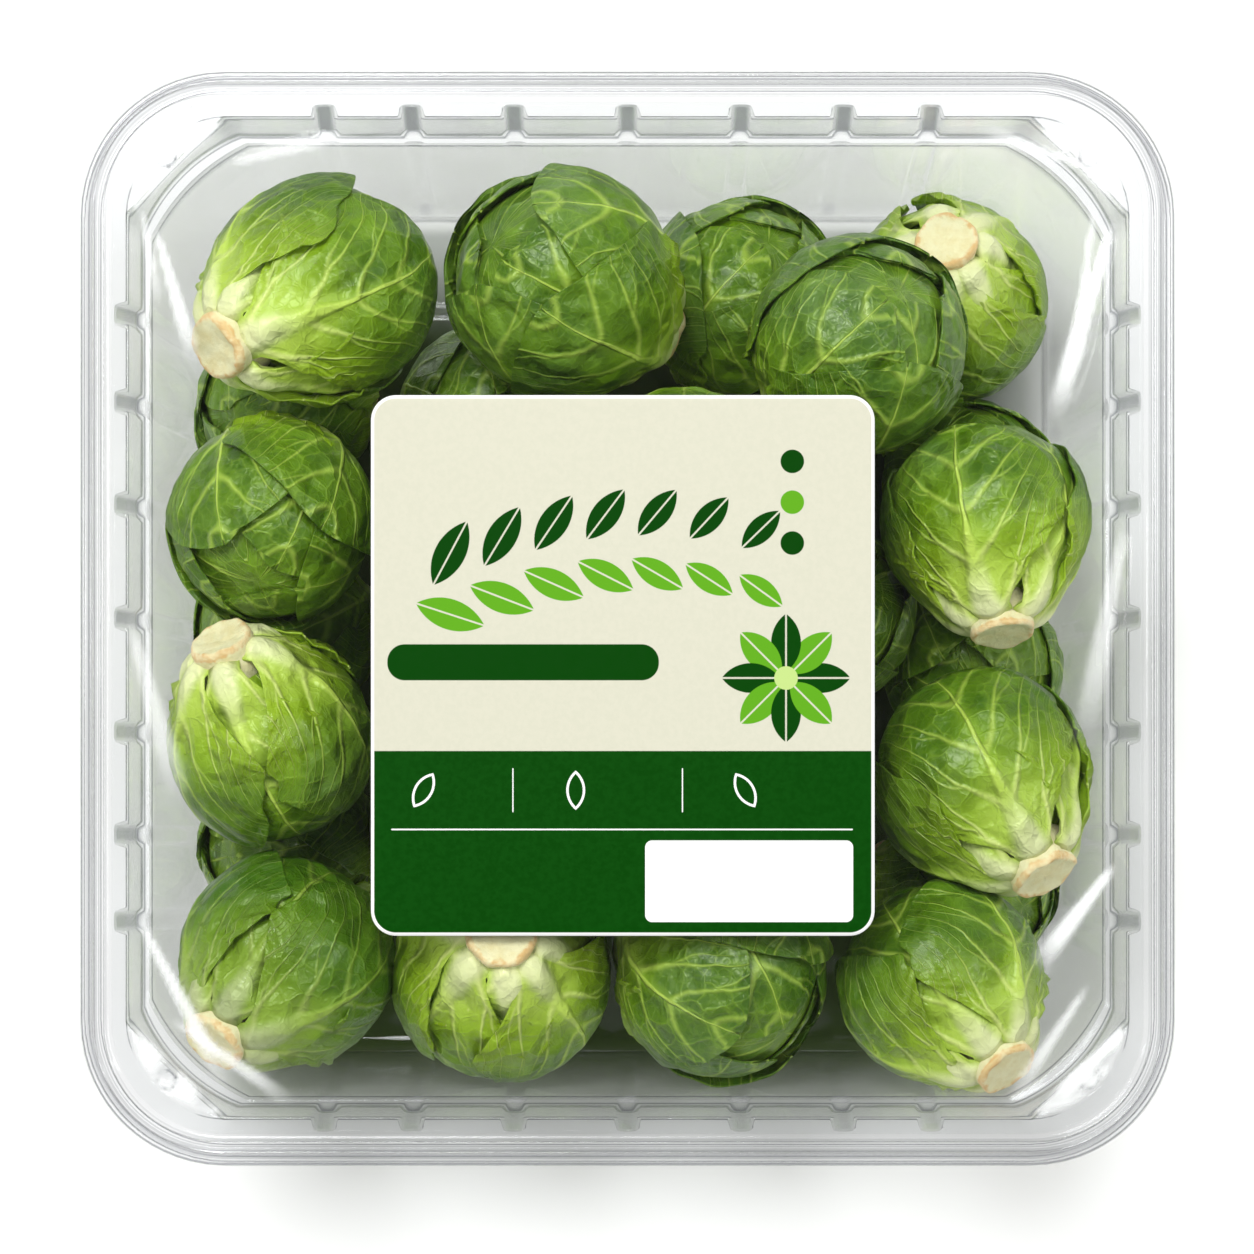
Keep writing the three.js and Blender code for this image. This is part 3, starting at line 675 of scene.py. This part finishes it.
# Rows of the path: half width, height, corner cut, corner roundness, bend radius, and steps to the next row
TRAY_PATH = (
    (4, PANEL_Z, 2, 1, 0, 3),
    (PANEL_HALF, PANEL_Z, 9, 1, 0.8, 1),
    (FOOT_INNER_HALF, RING_FLOOR_Z, 10, 1, 0.8, 7),
    (FOOT_OUTER_HALF - 2.2, RING_FLOOR_Z, FOOT_CUT - 1, 0.8, 1.2, 1),
    (FOOT_OUTER_HALF, FOOT_RISE, FOOT_CUT, 0.6, 1.2, 20),
    (LEDGE_INNER_HALF, LEDGE_Z, MOUTH_CUT, 0.42, 0.35, 1),
    (LEDGE_OUTER_HALF, LEDGE_Z + 0.35, MOUTH_CUT, 0.5, 0.35, 11),
    (MOUTH_HALF - 0.12, BAND_Z - 0.45, MOUTH_CUT, 0.12, 0.2, 1),
    (MOUTH_HALF, BAND_Z, MOUTH_CUT, 1, 0.2, 8),
    *((half, BAND_Z + rise, RIM_CORNER - RIM_HALF + half, 1, 0.4, 1) for half, rise in RIM_BEADS),
    (RIM_HALF, BAND_Z - 0.7, RIM_CORNER, 1, 0.5, 2),
    (RIM_HALF, LIP_BOTTOM_Z, RIM_CORNER, 1, 0, 1),
)
BEND_SHARES = (0, 0.33, 0.67, 1)


def rounded_path(rows):
    """Points (half, height, cut, roundness) through the rows, with bends of the rows' radii."""
    corners = []
    for i, row in enumerate(rows):
        here, radius = np.array(row[:4], float), row[4]
        if radius == 0:
            corners.append([here])
            continue
        back = np.array(rows[i - 1][:4], float) - here
        on = np.array(rows[i + 1][:4], float) - here
        before, after = np.linalg.norm(back[:2]), np.linalg.norm(on[:2])
        reach = min(radius, 0.45 * before, 0.45 * after)
        start, end = here + back * reach / before, here + on * reach / after
        corners.append([(1 - t) ** 2 * start + 2 * t * (1 - t) * here + t * t * end for t in BEND_SHARES])
    path = []
    for i, corner in enumerate(corners):
        path.extend(corner)
        if i + 1 < len(corners):
            steps = rows[i][5]
            gap = corners[i + 1][0] - corner[-1]
            path.extend(corner[-1] + gap * s / steps for s in range(1, steps))
    return np.array(path)


def offset_path(path, thickness):
    """The same path moved to its right by the plastic's thickness."""
    way = np.gradient(path[:, :2], axis=0)
    way /= np.linalg.norm(way, axis=1)[:, None]
    moved = path.copy()
    moved[:, 0] += way[:, 1] * thickness
    moved[:, 1] -= way[:, 0] * thickness
    return moved


# Points along a side: round each flute, midway between two, and near the side's ends
FLUTE_STEPS = (-1.75, -1.3, -1.1, -0.75, -0.38, 0.0, 0.38, 0.75, 1.1, 1.3, 1.75)
SIDE_END = 42.0
SIDE_REACH = 44.0
END_SHARES = np.array([0.35, 0.75])
CORNER_POINTS = 19


def side_places():
    """Where along a side the shell's points are, close together at each flute."""
    places = [offset + step for offset in FLUTE_OFFSETS for step in FLUTE_STEPS]
    places += [(low + high) / 2 for low, high in zip(FLUTE_OFFSETS, FLUTE_OFFSETS[1:])]
    return np.array(sorted(places + [-SIDE_END, SIDE_END]))


def flute_reach(half, z, thick):
    """How far out a flute's flat back stands at a level, and how far its dome has closed, from 0 to 1."""
    if z > LEDGE_Z + 0.55 - thick:
        share = (z - LEDGE_Z) / (BAND_Z - LEDGE_Z)
        return FLUTE_STEP_HALF + (FLUTE_TOP_HALF - FLUTE_STEP_HALF) * share + thick, 0
    over = max(z - (LEDGE_Z - 0.6 - FLUTE_DOME), 0) / FLUTE_DOME
    under = max(FLUTE_LOW_Z - thick + FLUTE_DOME * 2 - z, 0) / (FLUTE_DOME * 2)
    return half + FLUTE_DEPTH_LOW, max(over, under)


def add_flutes(x, y, half, z, thick):
    """The side's outward places with the flutes pressed into them."""
    reach, close = flute_reach(half, z, thick)
    if close >= 1 or half >= BAND_HALF - 0.8:
        return x
    deep = FLUTE_HALF_WIDTH + thick
    width = deep * math.sqrt(1 - close ** 2)
    for offset in FLUTE_OFFSETS:
        away = np.abs(y - offset) / width
        bulge = reach - deep + width * np.clip(1 - away ** 4, 0, None) ** 0.25
        x = np.where(away < 1, np.maximum(x, bulge), x)
    return x


def tray_loop(half, z, cut, soft, thick):
    """One closed loop of the shell's points at a level of the path: four sides and four corners."""
    straight = half - cut
    inner = side_places() * min(1.0, straight / SIDE_REACH)
    ends = inner[-1] + (straight - inner[-1]) * np.append(END_SHARES, 1)
    y = np.concatenate([-ends[::-1], inner, ends])
    x = add_flutes(np.full_like(y, half), y, half, z, thick)
    t = np.linspace(0, 1, CORNER_POINTS)[1:-1]
    t = t + 0.06 * np.sin(2 * math.pi * t)
    chamfer = np.stack([half - cut * t, half - cut * (1 - t)], -1)
    arc = half - cut + cut * np.stack([np.cos(t * math.pi / 2), np.sin(t * math.pi / 2)], -1)
    quarter = np.concatenate([np.stack([x, y], -1), chamfer + (arc - chamfer) * soft])
    loops = []
    for _ in range(4):
        loops.append(quarter)
        quarter = np.stack([-quarter[:, 1], quarter[:, 0]], -1)
    flat = np.concatenate(loops)
    return np.column_stack([flat, np.full(len(flat), z)])


def shape_tray(points):
    """Presses the corner dimples and the standing pads, and lets the walls wander slightly."""
    x, y, z = points.T
    dimple = np.hypot(np.abs(x) - DIMPLE_AT, np.abs(y) - DIMPLE_AT)
    pressed = 1 - smooth(dimple, DIMPLE_RADIUS * 0.55, DIMPLE_RADIUS * 1.15)
    points[:, 2] -= DIMPLE_DEPTH * pressed * (z > BAND_Z - 2)
    pad = np.hypot(np.abs(x) - PAD_AT, np.abs(y) - PAD_AT)
    points[:, 2] -= PAD_DEPTH * (1 - smooth(pad, PAD_RADIUS - 0.9, PAD_RADIUS)) * (z < FOOT_RISE)
    wall = smooth(z, FOOT_RISE + 3, 20) * (1 - smooth(z, LEDGE_Z - 6, LEDGE_Z - 1))
    sway = waves(points / 10, 5, 3.2) * WALL_WAVE * wall
    far = np.maximum(np.abs(x), np.abs(y)) * 0.999
    points[:, 0] += np.where(np.abs(x) >= far, np.sign(x) * sway, 0)
    points[:, 1] += np.where(np.abs(y) >= far, np.sign(y) * sway, 0)
    return points


def make_tray():
    inside = rounded_path(TRAY_PATH)
    outside = offset_path(inside, PLASTIC)[::-1]
    loops = [tray_loop(*row, 0.0) for row in inside] + [tray_loop(*row, PLASTIC) for row in outside]
    count = len(loops[0])
    points = shape_tray(np.concatenate(loops))
    last = (len(loops) - 1) * count
    ends = [list(range(count - 1, -1, -1)), list(range(last, last + count))]
    mesh = bpy.data.meshes.new("punnet_tray")
    mesh.from_pydata((points * MM).tolist(), [], ring_faces(len(loops), count).tolist() + ends)
    mesh.polygons.foreach_set("use_smooth", np.ones(len(mesh.polygons), bool))
    mesh.flip_normals()
    mesh.validate()
    mesh.materials.append(plastic_material())
    piece = bpy.data.objects.new("punnet_tray", mesh)
    bpy.context.scene.collection.objects.link(piece)
    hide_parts("tray")
    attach(piece, "root")


# Tints of what is seen through the plastic: head on, at bends, at beads, along steep walls and at the floor
PANE_TINT = colour(0.915, 0.915, 0.925)
BEND_TINT = colour(0.46, 0.47, 0.49)
BEAD_TINT = colour(0.7, 0.705, 0.72)
STEEP_TINT = colour(0.95, 0.952, 0.952)
FLOOR_TINT = colour(0.93, 0.935, 0.93)
LIT_TINT = colour(0.965, 0.968, 0.97)
LIT_FLOOR_TINT = colour(0.8, 0.81, 0.8)
PLASTIC_SHINE = colour(0.96, 0.965, 0.97)
PLASTIC_HAZE = colour(0.93, 0.93, 0.935)


def plastic_material():
    """Thin clear plastic: clear head on, greyer and glossier where it is seen along its face."""
    n = Nodes("clear_plastic")
    point = n.object_point()
    normal = n.bump(n.noise(point, 90.0, 2.0), 0.06, 0.0012)
    facing = n.node("ShaderNodeLayerWeight", {"Blend": 0.5, "Normal": normal}).outputs["Facing"]
    _, _, z = n.axes(point)
    floor = n.ramp(z, 0.0025, 0.0035, 1.0, 0.0)
    bend = n.mul(n.ramp(facing, 0.1, 0.3), n.ramp(z, 0.03, 0.04, 0.3, 1.0))
    bead = n.ramp(z, (BAND_Z + 0.03) * MM, (BAND_Z + 0.12) * MM)
    tint = n.mix(bend, PANE_TINT, n.mix(bead, BEND_TINT, BEAD_TINT))
    tint = n.mix(n.ramp(facing, 0.5, 0.75), tint, STEEP_TINT)
    tint = n.mix(floor, tint, FLOOR_TINT)
    clear = n.shader("Transparent", Color=tint)
    shine = n.shader("Glossy", Color=PLASTIC_SHINE, Roughness=0.05, Normal=normal)
    pane = n.blend(n.ramp(n.fresnel(1.5, normal), 0.04, 0.8, 0.02, 0.3), clear, shine)
    haze = n.mul(n.ramp(facing, 0.5, 0.8, 0.03, 0.09), n.ramp(z, 0.004, 0.012))
    seen = n.blend(haze, pane, n.shader("Diffuse", Color=PLASTIC_HAZE))
    lit = n.shader("Transparent", Color=n.mix(floor, LIT_TINT, LIT_FLOOR_TINT))
    path = n.node("ShaderNodeLightPath")
    passing = n.larger(path.outputs["Is Shadow Ray"], path.outputs["Is Diffuse Ray"])
    return n.surface(n.blend(passing, seen, lit))


# Film, as creases drawn tight between the corners and the sides: ends, half width and height in millimetres

FILM_HALF = 65.8
FILM_CORNER = 14.3
FILM_Z = BAND_Z + 0.2
FILM_THICKNESS = 0.05
FILM_POINTS = 222
# Painted highlights: how white the film is painted along each crease and over the corner lands, in place of
# the lamps' reflections, and the most white it gets
CREASE_PAINTED_HIGHLIGHT = 2.7
CORNER_PAINTED_HIGHLIGHT = 0.62
MOST_PAINTED_HIGHLIGHT = 0.85
CREASES = (
    ((61.3, 48.5), (55.0, 27.5), 0.9, 0.34),
    ((59.2, 50.5), (57.3, 33.0), 0.6, 0.16),
    ((-55.4, 66.0), (-59.4, 61.2), 0.6, 0.22),
    ((-59.8, 48.4), (-55.6, 34.0), 0.7, 0.2),
    ((-62.0, 52.0), (-60.0, 41.0), 0.5, 0.12),
    ((61.4, -32.5), (53.0, -43.5), 0.9, 0.26),
    ((62.5, -53.5), (55.0, -61.0), 0.8, 0.26),
    ((58.0, -48.0), (50.0, -60.0), 0.7, 0.14),
    ((-61.5, -40.0), (-52.0, -58.0), 0.8, 0.18),
    ((-57.0, -52.0), (-44.0, -61.0), 0.7, 0.14),
    ((58.5, 57.5), (46.0, 62.0), 0.7, 0.14),
    ((-50.0, 58.0), (-36.0, 61.5), 0.7, 0.1),
    ((63.0, 10.0), (58.5, -14.0), 1.2, 0.1),
    ((-63.0, -2.0), (-57.5, -22.0), 1.2, 0.1),
)
# The film's slow sag keeps clear of the label: half sizes of that place
SAG = 0.05
FLAT_HALF = (36, 38)


def crease(x, y, ends, width, height):
    """One crease's height over the film, and the painted white highlight along it."""
    (ax, ay), (bx, by) = ends
    way = np.array([bx - ax, by - ay])
    length = np.linalg.norm(way)
    way /= length
    along = ((x - ax) * way[0] + (y - ay) * way[1]) / length
    across = (x - ax) * -way[1] + (y - ay) * way[0]
    reach = width * (0.7 + 1.1 * np.clip(along, 0, 1))
    strength = height * smooth(along, -0.12, 0.12) * (1 - smooth(along, 0.6, 1.15))
    ridge = np.exp(-(across / reach) ** 2) - 0.45 * np.exp(-((across - 2.2 * reach) / reach) ** 2)
    return strength * ridge, CREASE_PAINTED_HIGHLIGHT * strength * np.exp(-(across / (0.75 * reach)) ** 4)


def corner_land_highlight_mask(x, y):
    """Where the painted highlight on the corner lands goes: 1 over the tray's corner lands, where the film
    lies on plastic, and less round each dimple's edge.
    """
    middle = MOUTH_HALF - MOUTH_CUT
    chord = MOUTH_HALF + middle
    land = smooth(np.abs(x) + np.abs(y), chord - 0.3, chord + 0.6)
    land *= 1 - smooth(np.hypot(np.abs(x) - middle, np.abs(y) - middle), MOUTH_CUT - 0.9, MOUTH_CUT - 0.1)
    dimple = np.hypot(np.abs(x) - DIMPLE_AT, np.abs(y) - DIMPLE_AT)
    return land * (1 - 0.8 * np.exp(-((dimple - DIMPLE_RADIUS) / 0.3) ** 2))


def film_shape(x, y):
    """How far the film stands over its plane, and its painted white highlight, on its creases and at its
    corners.
    """
    z, white = np.zeros_like(x), np.zeros_like(x)
    for start, end, width, height in CREASES:
        rise, shine = crease(x, y, (start, end), width, height)
        z += rise
        white += shine
    free = 1 - smooth(np.maximum(np.abs(x), np.abs(y)), MOUTH_HALF - 9, MOUTH_HALF)
    from_middle = np.abs(x - LABEL_CENTRE[0]), np.abs(y - LABEL_CENTRE[1])
    from_label = np.maximum(from_middle[0] / FLAT_HALF[0], from_middle[1] / FLAT_HALF[1])
    spot = stacked(x, y, 0.0)
    z += SAG * waves(spot, 61, 34) * free * smooth(from_label, 0.95, 1.2)
    # The painted highlight on the corner lands comes and goes in streaks.
    streak = np.clip(0.6 + 0.4 * waves(spot, 71, 5), 0, 1)
    white += CORNER_PAINTED_HIGHLIGHT * corner_land_highlight_mask(x, y) * streak
    return z, np.clip(white, 0, MOST_PAINTED_HIGHLIGHT)


def rounded_square(count, half, corner):
    """A grid of points over a square with round corners, and how far out each is, from 0 to 1 at the edge."""
    u, v = np.meshgrid(np.linspace(-1, 1, count), np.linspace(-1, 1, count))
    x, y = u * half, v * half
    a = np.clip((np.abs(x) - half + corner) / corner, 0, 1)
    b = np.clip((np.abs(y) - half + corner) / corner, 0, 1)
    x2 = a * np.sqrt(1 - b * b / 2)
    y2 = b * np.sqrt(1 - a * a / 2)
    x = np.where(a > 0, np.sign(x) * (half - corner + corner * x2), x)
    y = np.where(b > 0, np.sign(y) * (half - corner + corner * y2), y)
    return x, y, np.maximum(np.abs(u), np.abs(v))


def sheet_piece(name, material, x, y, low, high, value):
    """A closed thin sheet between two height fields over a grid, with a value for each place of the grid."""
    points = np.stack([stacked(x, y, high), stacked(x, y, low)])
    uv = np.stack([np.stack([x, y], -1)] * 2)
    parts = MeshParts()
    parts.add(points, shell_faces(*x.shape), uv, np.stack([value, value]).ravel())
    return parts.build(name, material, Matrix.Scale(MM, 4), "white")


def film_material():
    """Thin glossy film: clear head on, with a painted highlight of diffuse white along its creases and over
    the corner lands.
    """
    n = Nodes("clear_film")
    normal = n.bump(n.noise(n.object_point(), 160.0, 3.0, 0.55), 0.05, 0.0006)
    clear = n.shader("Transparent", Color=colour(0.985, 0.99, 0.988))
    shine = n.shader("Glossy", Color=colour(1.0, 1.0, 1.0), Roughness=0.07, Normal=normal)
    pane = n.blend(n.ramp(n.fresnel(1.45, normal), 0.033, 0.5, 0.006, 0.6), clear, shine)
    # The white attribute is a painted highlight: where it is high, the film turns diffuse white in place of
    # reflected lamps.
    painted_highlight = n.shader("Diffuse", Color=colour(0.95, 0.96, 0.96))
    return n.surface(n.blend(n.attribute("white"), pane, painted_highlight))


def make_film():
    x, y, _ = rounded_square(FILM_POINTS, FILM_HALF, FILM_CORNER)
    # white is the film's painted highlight along its creases and over the corner lands.
    rise, white = film_shape(x, y)
    low = FILM_Z + rise
    piece = sheet_piece("sealing_film", film_material(), x, y, low, low + FILM_THICKNESS, white)
    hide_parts("lid_film")
    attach(piece, "root")


# Label. Its print is placed in millimetres from its middle.

LABEL_WIDTH = 64.2
LABEL_HEIGHT = 68.9
LABEL_ROUND = 3.2
LABEL_Z = BAND_Z + 0.55
LABEL_THICKNESS = 0.2
LABEL_BORDER = 0.42
LABEL_POINTS = 90
FIELD_SPLIT = -10.9
PRINT_SOFT = 0.05

WHITE_INK = colour(0.86, 0.86, 0.85)
DARK_INK = colour(0.001, 0.046, 0.0005)
DARK_INK_WORN = colour(0.0015, 0.054, 0.001)
MID_INK = colour(0.1, 0.33, 0.012)
HEART_INK = colour(0.45, 0.6, 0.2)
CREAM = colour(0.56, 0.555, 0.445)
CREAM_PALE = colour(0.58, 0.57, 0.46)

# White rules and a bare panel on the green field: place, half size and corner radius
WHITE_BOXES = (
    ((-0.1, -20.9), (29.4, 0.09), 0.09),
    ((-14.0, -15.9), (0.07, 2.8), 0.07),
    ((7.6, -15.9), (0.07, 2.8), 0.07),
    ((16.1, -27.5), (13.25, 5.2), 0.9),
)
GREEN_BAR = ((-12.7, 0.4), (17.3, 2.3), 2.2)
# Two rows of leaves along a curved twig: place, length, width and turn
TWIG_LEAVES = tuple(
    (
        (-22 + 6.6 * i, 10.4 + 5.2 * math.sin(0.42 * i) + side * 3.9),
        9.2 - 0.4 * i, 3.9 - 0.14 * i, 22 + side * 40 - 3 * i,
    )
    for i in range(7) for side in (-1, 1)
)
ROSETTE_AT = (20.8, -1.6)
ROSETTE_LEAVES = 8
ROSETTE_REACH = 4.5
ROSETTE_LEAF = (7.4, 3.8)
DOT_RADIUS = 1.5
DOTS = ((21.6, 26.0), (21.6, 20.8), (21.6, 15.6))
# Leaves in outline on the green field: place along it and turn, and their outer and inner length and width
LINE_LEAVES = ((-25.4, 60), (-6.0, 90), (15.6, 120))
LINE_LEAF_Y = -15.9
LINE_OUTER = (5.0, 2.4)
LINE_INNER = (4.2, 1.8)


def box_mask(n, x, y, centre, half, radius):
    """1 inside a rounded box on the label and 0 outside."""
    dx = n.larger(n.sub(n.absolute(n.sub(x, centre[0])), half[0] - radius), 0.0)
    dy = n.larger(n.sub(n.absolute(n.sub(y, centre[1])), half[1] - radius), 0.0)
    return n.ramp(n.length(dx, dy), radius - PRINT_SOFT, radius + PRINT_SOFT, 1.0, 0.0)


def dot_mask(n, x, y, centre):
    return box_mask(n, x, y, centre, (DOT_RADIUS, DOT_RADIUS), DOT_RADIUS)


def leaf_mask(n, x, y, centre, length, width, turn):
    """1 inside a pointed leaf, which is the overlap of two discs, and the distance across it."""
    c, s = math.cos(math.radians(turn)), math.sin(math.radians(turn))
    dx, dy = n.sub(x, centre[0]), n.sub(y, centre[1])
    along = n.add(n.mul(dx, c), n.mul(dy, s))
    across = n.sub(n.mul(dy, c), n.mul(dx, s))
    radius = (length ** 2 + width ** 2) / (4 * width)
    away = n.length(along, n.add(n.absolute(across), radius - width / 2))
    return n.ramp(away, radius - PRINT_SOFT, radius + PRINT_SOFT, 1.0, 0.0), across


def print_leaf(n, base, x, y, centre, length, width, turn, ink, rib_ink):
    """The label's colour with one leaf and its rib printed on it."""
    mask, across = leaf_mask(n, x, y, centre, length, width, turn)
    rib = n.ramp(n.absolute(across), 0.06, 0.16, 1.0, 0.0)
    return n.mix(mask, base, n.mix(rib, ink, rib_ink))


def label_print(n, x, y, fibre):
    """The label's colour: cream over dark green, white rules, a bare panel, and printed leaves and dots."""
    cream = n.mix(n.ramp(fibre, 0.35, 0.65), CREAM, CREAM_PALE)
    green = n.mix(n.ramp(fibre, 0.35, 0.65), DARK_INK, DARK_INK_WORN)
    half = (LABEL_WIDTH / 2 - LABEL_BORDER, LABEL_HEIGHT / 2 - LABEL_BORDER)
    field = box_mask(n, x, y, (0, 0), half, LABEL_ROUND - LABEL_BORDER)
    base = n.mix(field, WHITE_INK, cream)
    low = n.ramp(y, FIELD_SPLIT - PRINT_SOFT, FIELD_SPLIT + PRINT_SOFT, 1.0, 0.0)
    base = n.mix(n.mul(field, low), base, green)
    for box in WHITE_BOXES:
        base = n.mix(box_mask(n, x, y, *box), base, WHITE_INK)
    for i, leaf in enumerate(TWIG_LEAVES):
        base = print_leaf(n, base, x, y, *leaf, DARK_INK if i % 2 else MID_INK, cream)
    for i in range(ROSETTE_LEAVES):
        turn = 360 / ROSETTE_LEAVES * i
        c, s = math.cos(math.radians(turn)), math.sin(math.radians(turn))
        place = (ROSETTE_AT[0] + ROSETTE_REACH * c, ROSETTE_AT[1] + ROSETTE_REACH * s)
        base = print_leaf(n, base, x, y, place, *ROSETTE_LEAF, turn, MID_INK if i % 2 else DARK_INK, cream)
    base = n.mix(dot_mask(n, x, y, ROSETTE_AT), base, HEART_INK)
    base = n.mix(box_mask(n, x, y, *GREEN_BAR), base, DARK_INK)
    for i, dot in enumerate(DOTS):
        base = n.mix(dot_mask(n, x, y, dot), base, MID_INK if i % 2 else DARK_INK)
    for place, turn in LINE_LEAVES:
        outer, _ = leaf_mask(n, x, y, (place, LINE_LEAF_Y), *LINE_OUTER, turn)
        inner, _ = leaf_mask(n, x, y, (place, LINE_LEAF_Y), *LINE_INNER, turn)
        base = n.mix(n.sub(outer, inner), base, WHITE_INK)
    return base


def label_material():
    """Coated paper with the label's print."""
    n = Nodes("label_print")
    point = n.object_point()
    x, y, _ = n.axes(point)
    x = n.sub(n.mul(x, 1 / MM), LABEL_CENTRE[0])
    y = n.sub(n.mul(y, 1 / MM), LABEL_CENTRE[1])
    fibre = n.noise(point, 1400.0, 4.0, 0.6)
    return n.surface(n.shader(
        "Principled", Base_Color=label_print(n, x, y, fibre), Roughness=n.ramp(fibre, 0.3, 0.7, 0.34, 0.46),
        Specular_IOR_Level=0.04, Normal=n.bump(fibre, 0.12, 0.00004),
    ))


def make_label():
    short = LABEL_WIDTH / 2
    x, y, edge = rounded_square(LABEL_POINTS, short, LABEL_ROUND)
    y = y + np.clip(y / (short - LABEL_ROUND), -1, 1) * (LABEL_HEIGHT / 2 - short)
    x, y = x + LABEL_CENTRE[0], y + LABEL_CENTRE[1]
    low = LABEL_Z + 0.03 * waves(stacked(x, y, 0.0), 83, 40) * (1 - smooth(edge, 0.8, 1))
    high = low + LABEL_THICKNESS * (1 - 0.3 * smooth(edge, 0.985, 1))
    piece = sheet_piece("front_label", label_material(), x, y, low, high, np.zeros_like(x))
    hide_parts("label")
    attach(piece, "root")


# Floor, lights and camera. The photo's width and the pack's middle in it are in pixels.

PHOTO_PIXELS = 1254
PACK_CENTRE_PIXELS = (627.5, 617.5)
MM_PER_PIXEL = 140 / 1099
PHOTO_WIDTH = PHOTO_PIXELS * MM_PER_PIXEL
CAMERA_ABOVE_RIM = 600
CAMERA_NEARER = 30
SENSOR_WIDTH = 36

FLOOR_SIZE = 6
FLOOR_WHITE = colour(0.97, 0.97, 0.97)
# A painted shadow on the floor under the pack: a dark green patch, seen through the clear tray between the
# sprouts, that fades to white between these distances from its middle
PAINTED_SHADOW_TONE = colour(0.07, 0.11, 0.03)
PAINTED_SHADOW_EDGE = (0.044, 0.057)
SKY = colour(1.0, 1.0, 0.985)
SKY_STRENGTH = 0.48

# Lamps: place, height of the point that each aims at, size and power in watts
LIGHTS = {
    "key_light": ((-0.22, 0.42, 0.9), 0.03, (0.45, 0.35), 6.9),
    "fill_light": ((0.7, 0.1, 0.7), 0.03, (0.3, 0.5), 2.2),
    "back_light": ((-0.6, -0.5, 0.6), 0.03, (0.4, 0.3), 1.2),
    "strip_right": ((0.42, 0.12, 0.8), 0.05, (0.05, 0.5), 0.9),
    "strip_left": ((-0.45, 0.05, 0.8), 0.05, (0.05, 0.4), 0.5),
}


def area_light(name, place, aim, size, power):
    data = bpy.data.lights.new(name, "AREA")
    data.shape = "RECTANGLE"
    data.size, data.size_y = size
    data.energy = power
    light = bpy.data.objects.new(name, data)
    light.location = Vector(place)
    light.rotation_euler = (Vector((0, 0, aim)) - Vector(place)).to_track_quat("-Z", "Y").to_euler()
    bpy.context.scene.collection.objects.link(light)


def make_floor():
    bpy.ops.mesh.primitive_plane_add(size=FLOOR_SIZE)
    floor = bpy.context.object
    floor.name = "floor"
    n = Nodes("floor_white_with_painted_shadow")
    x, y, _ = n.axes(n.object_point())
    # Painted shadow: the floor turns dark green under the pack, in place of the shade that the sprouts and
    # tray cast. The patch sits a little towards -Y and reaches further along Y.
    y = n.mul(n.add(y, 0.008), 0.92)
    tone = n.mix(n.ramp(n.larger(n.absolute(x), n.absolute(y)), *PAINTED_SHADOW_EDGE), PAINTED_SHADOW_TONE, FLOOR_WHITE)
    floor.data.materials.append(n.surface(n.shader("Diffuse", Color=tone)))


def make_stage():
    make_floor()
    world = bpy.data.worlds.new("studio")
    world.use_nodes = True
    background = world.node_tree.nodes["Background"]
    background.inputs["Color"].default_value = SKY
    background.inputs["Strength"].default_value = SKY_STRENGTH
    scene = bpy.context.scene
    scene.world = world
    scene.view_settings.view_transform = "Standard"
    scene.view_settings.look = "None"
    for name, row in LIGHTS.items():
        area_light(name, *row)


def make_camera():
    """Looks straight down, from a place nearer the front, with a lens shifted back to the photo's frame."""
    data = bpy.data.cameras.new("camera")
    camera = bpy.data.objects.new("camera", data)
    bpy.context.scene.collection.objects.link(camera)
    middle = PHOTO_PIXELS / 2
    x = (middle - PACK_CENTRE_PIXELS[0]) * MM_PER_PIXEL
    y = (PACK_CENTRE_PIXELS[1] - middle) * MM_PER_PIXEL
    camera.location = (x * MM, (y - CAMERA_NEARER) * MM, (TRAY_TOP + CAMERA_ABOVE_RIM) * MM)
    data.sensor_fit = "AUTO"
    data.sensor_width = SENSOR_WIDTH
    data.lens = SENSOR_WIDTH * CAMERA_ABOVE_RIM / PHOTO_WIDTH
    data.shift_y = CAMERA_NEARER / PHOTO_WIDTH
    data.clip_start, data.clip_end = 0.01, 20
    bpy.context.scene.camera = camera


make_sprouts()
make_tray()
make_film()
make_label()
make_stage()
make_camera()
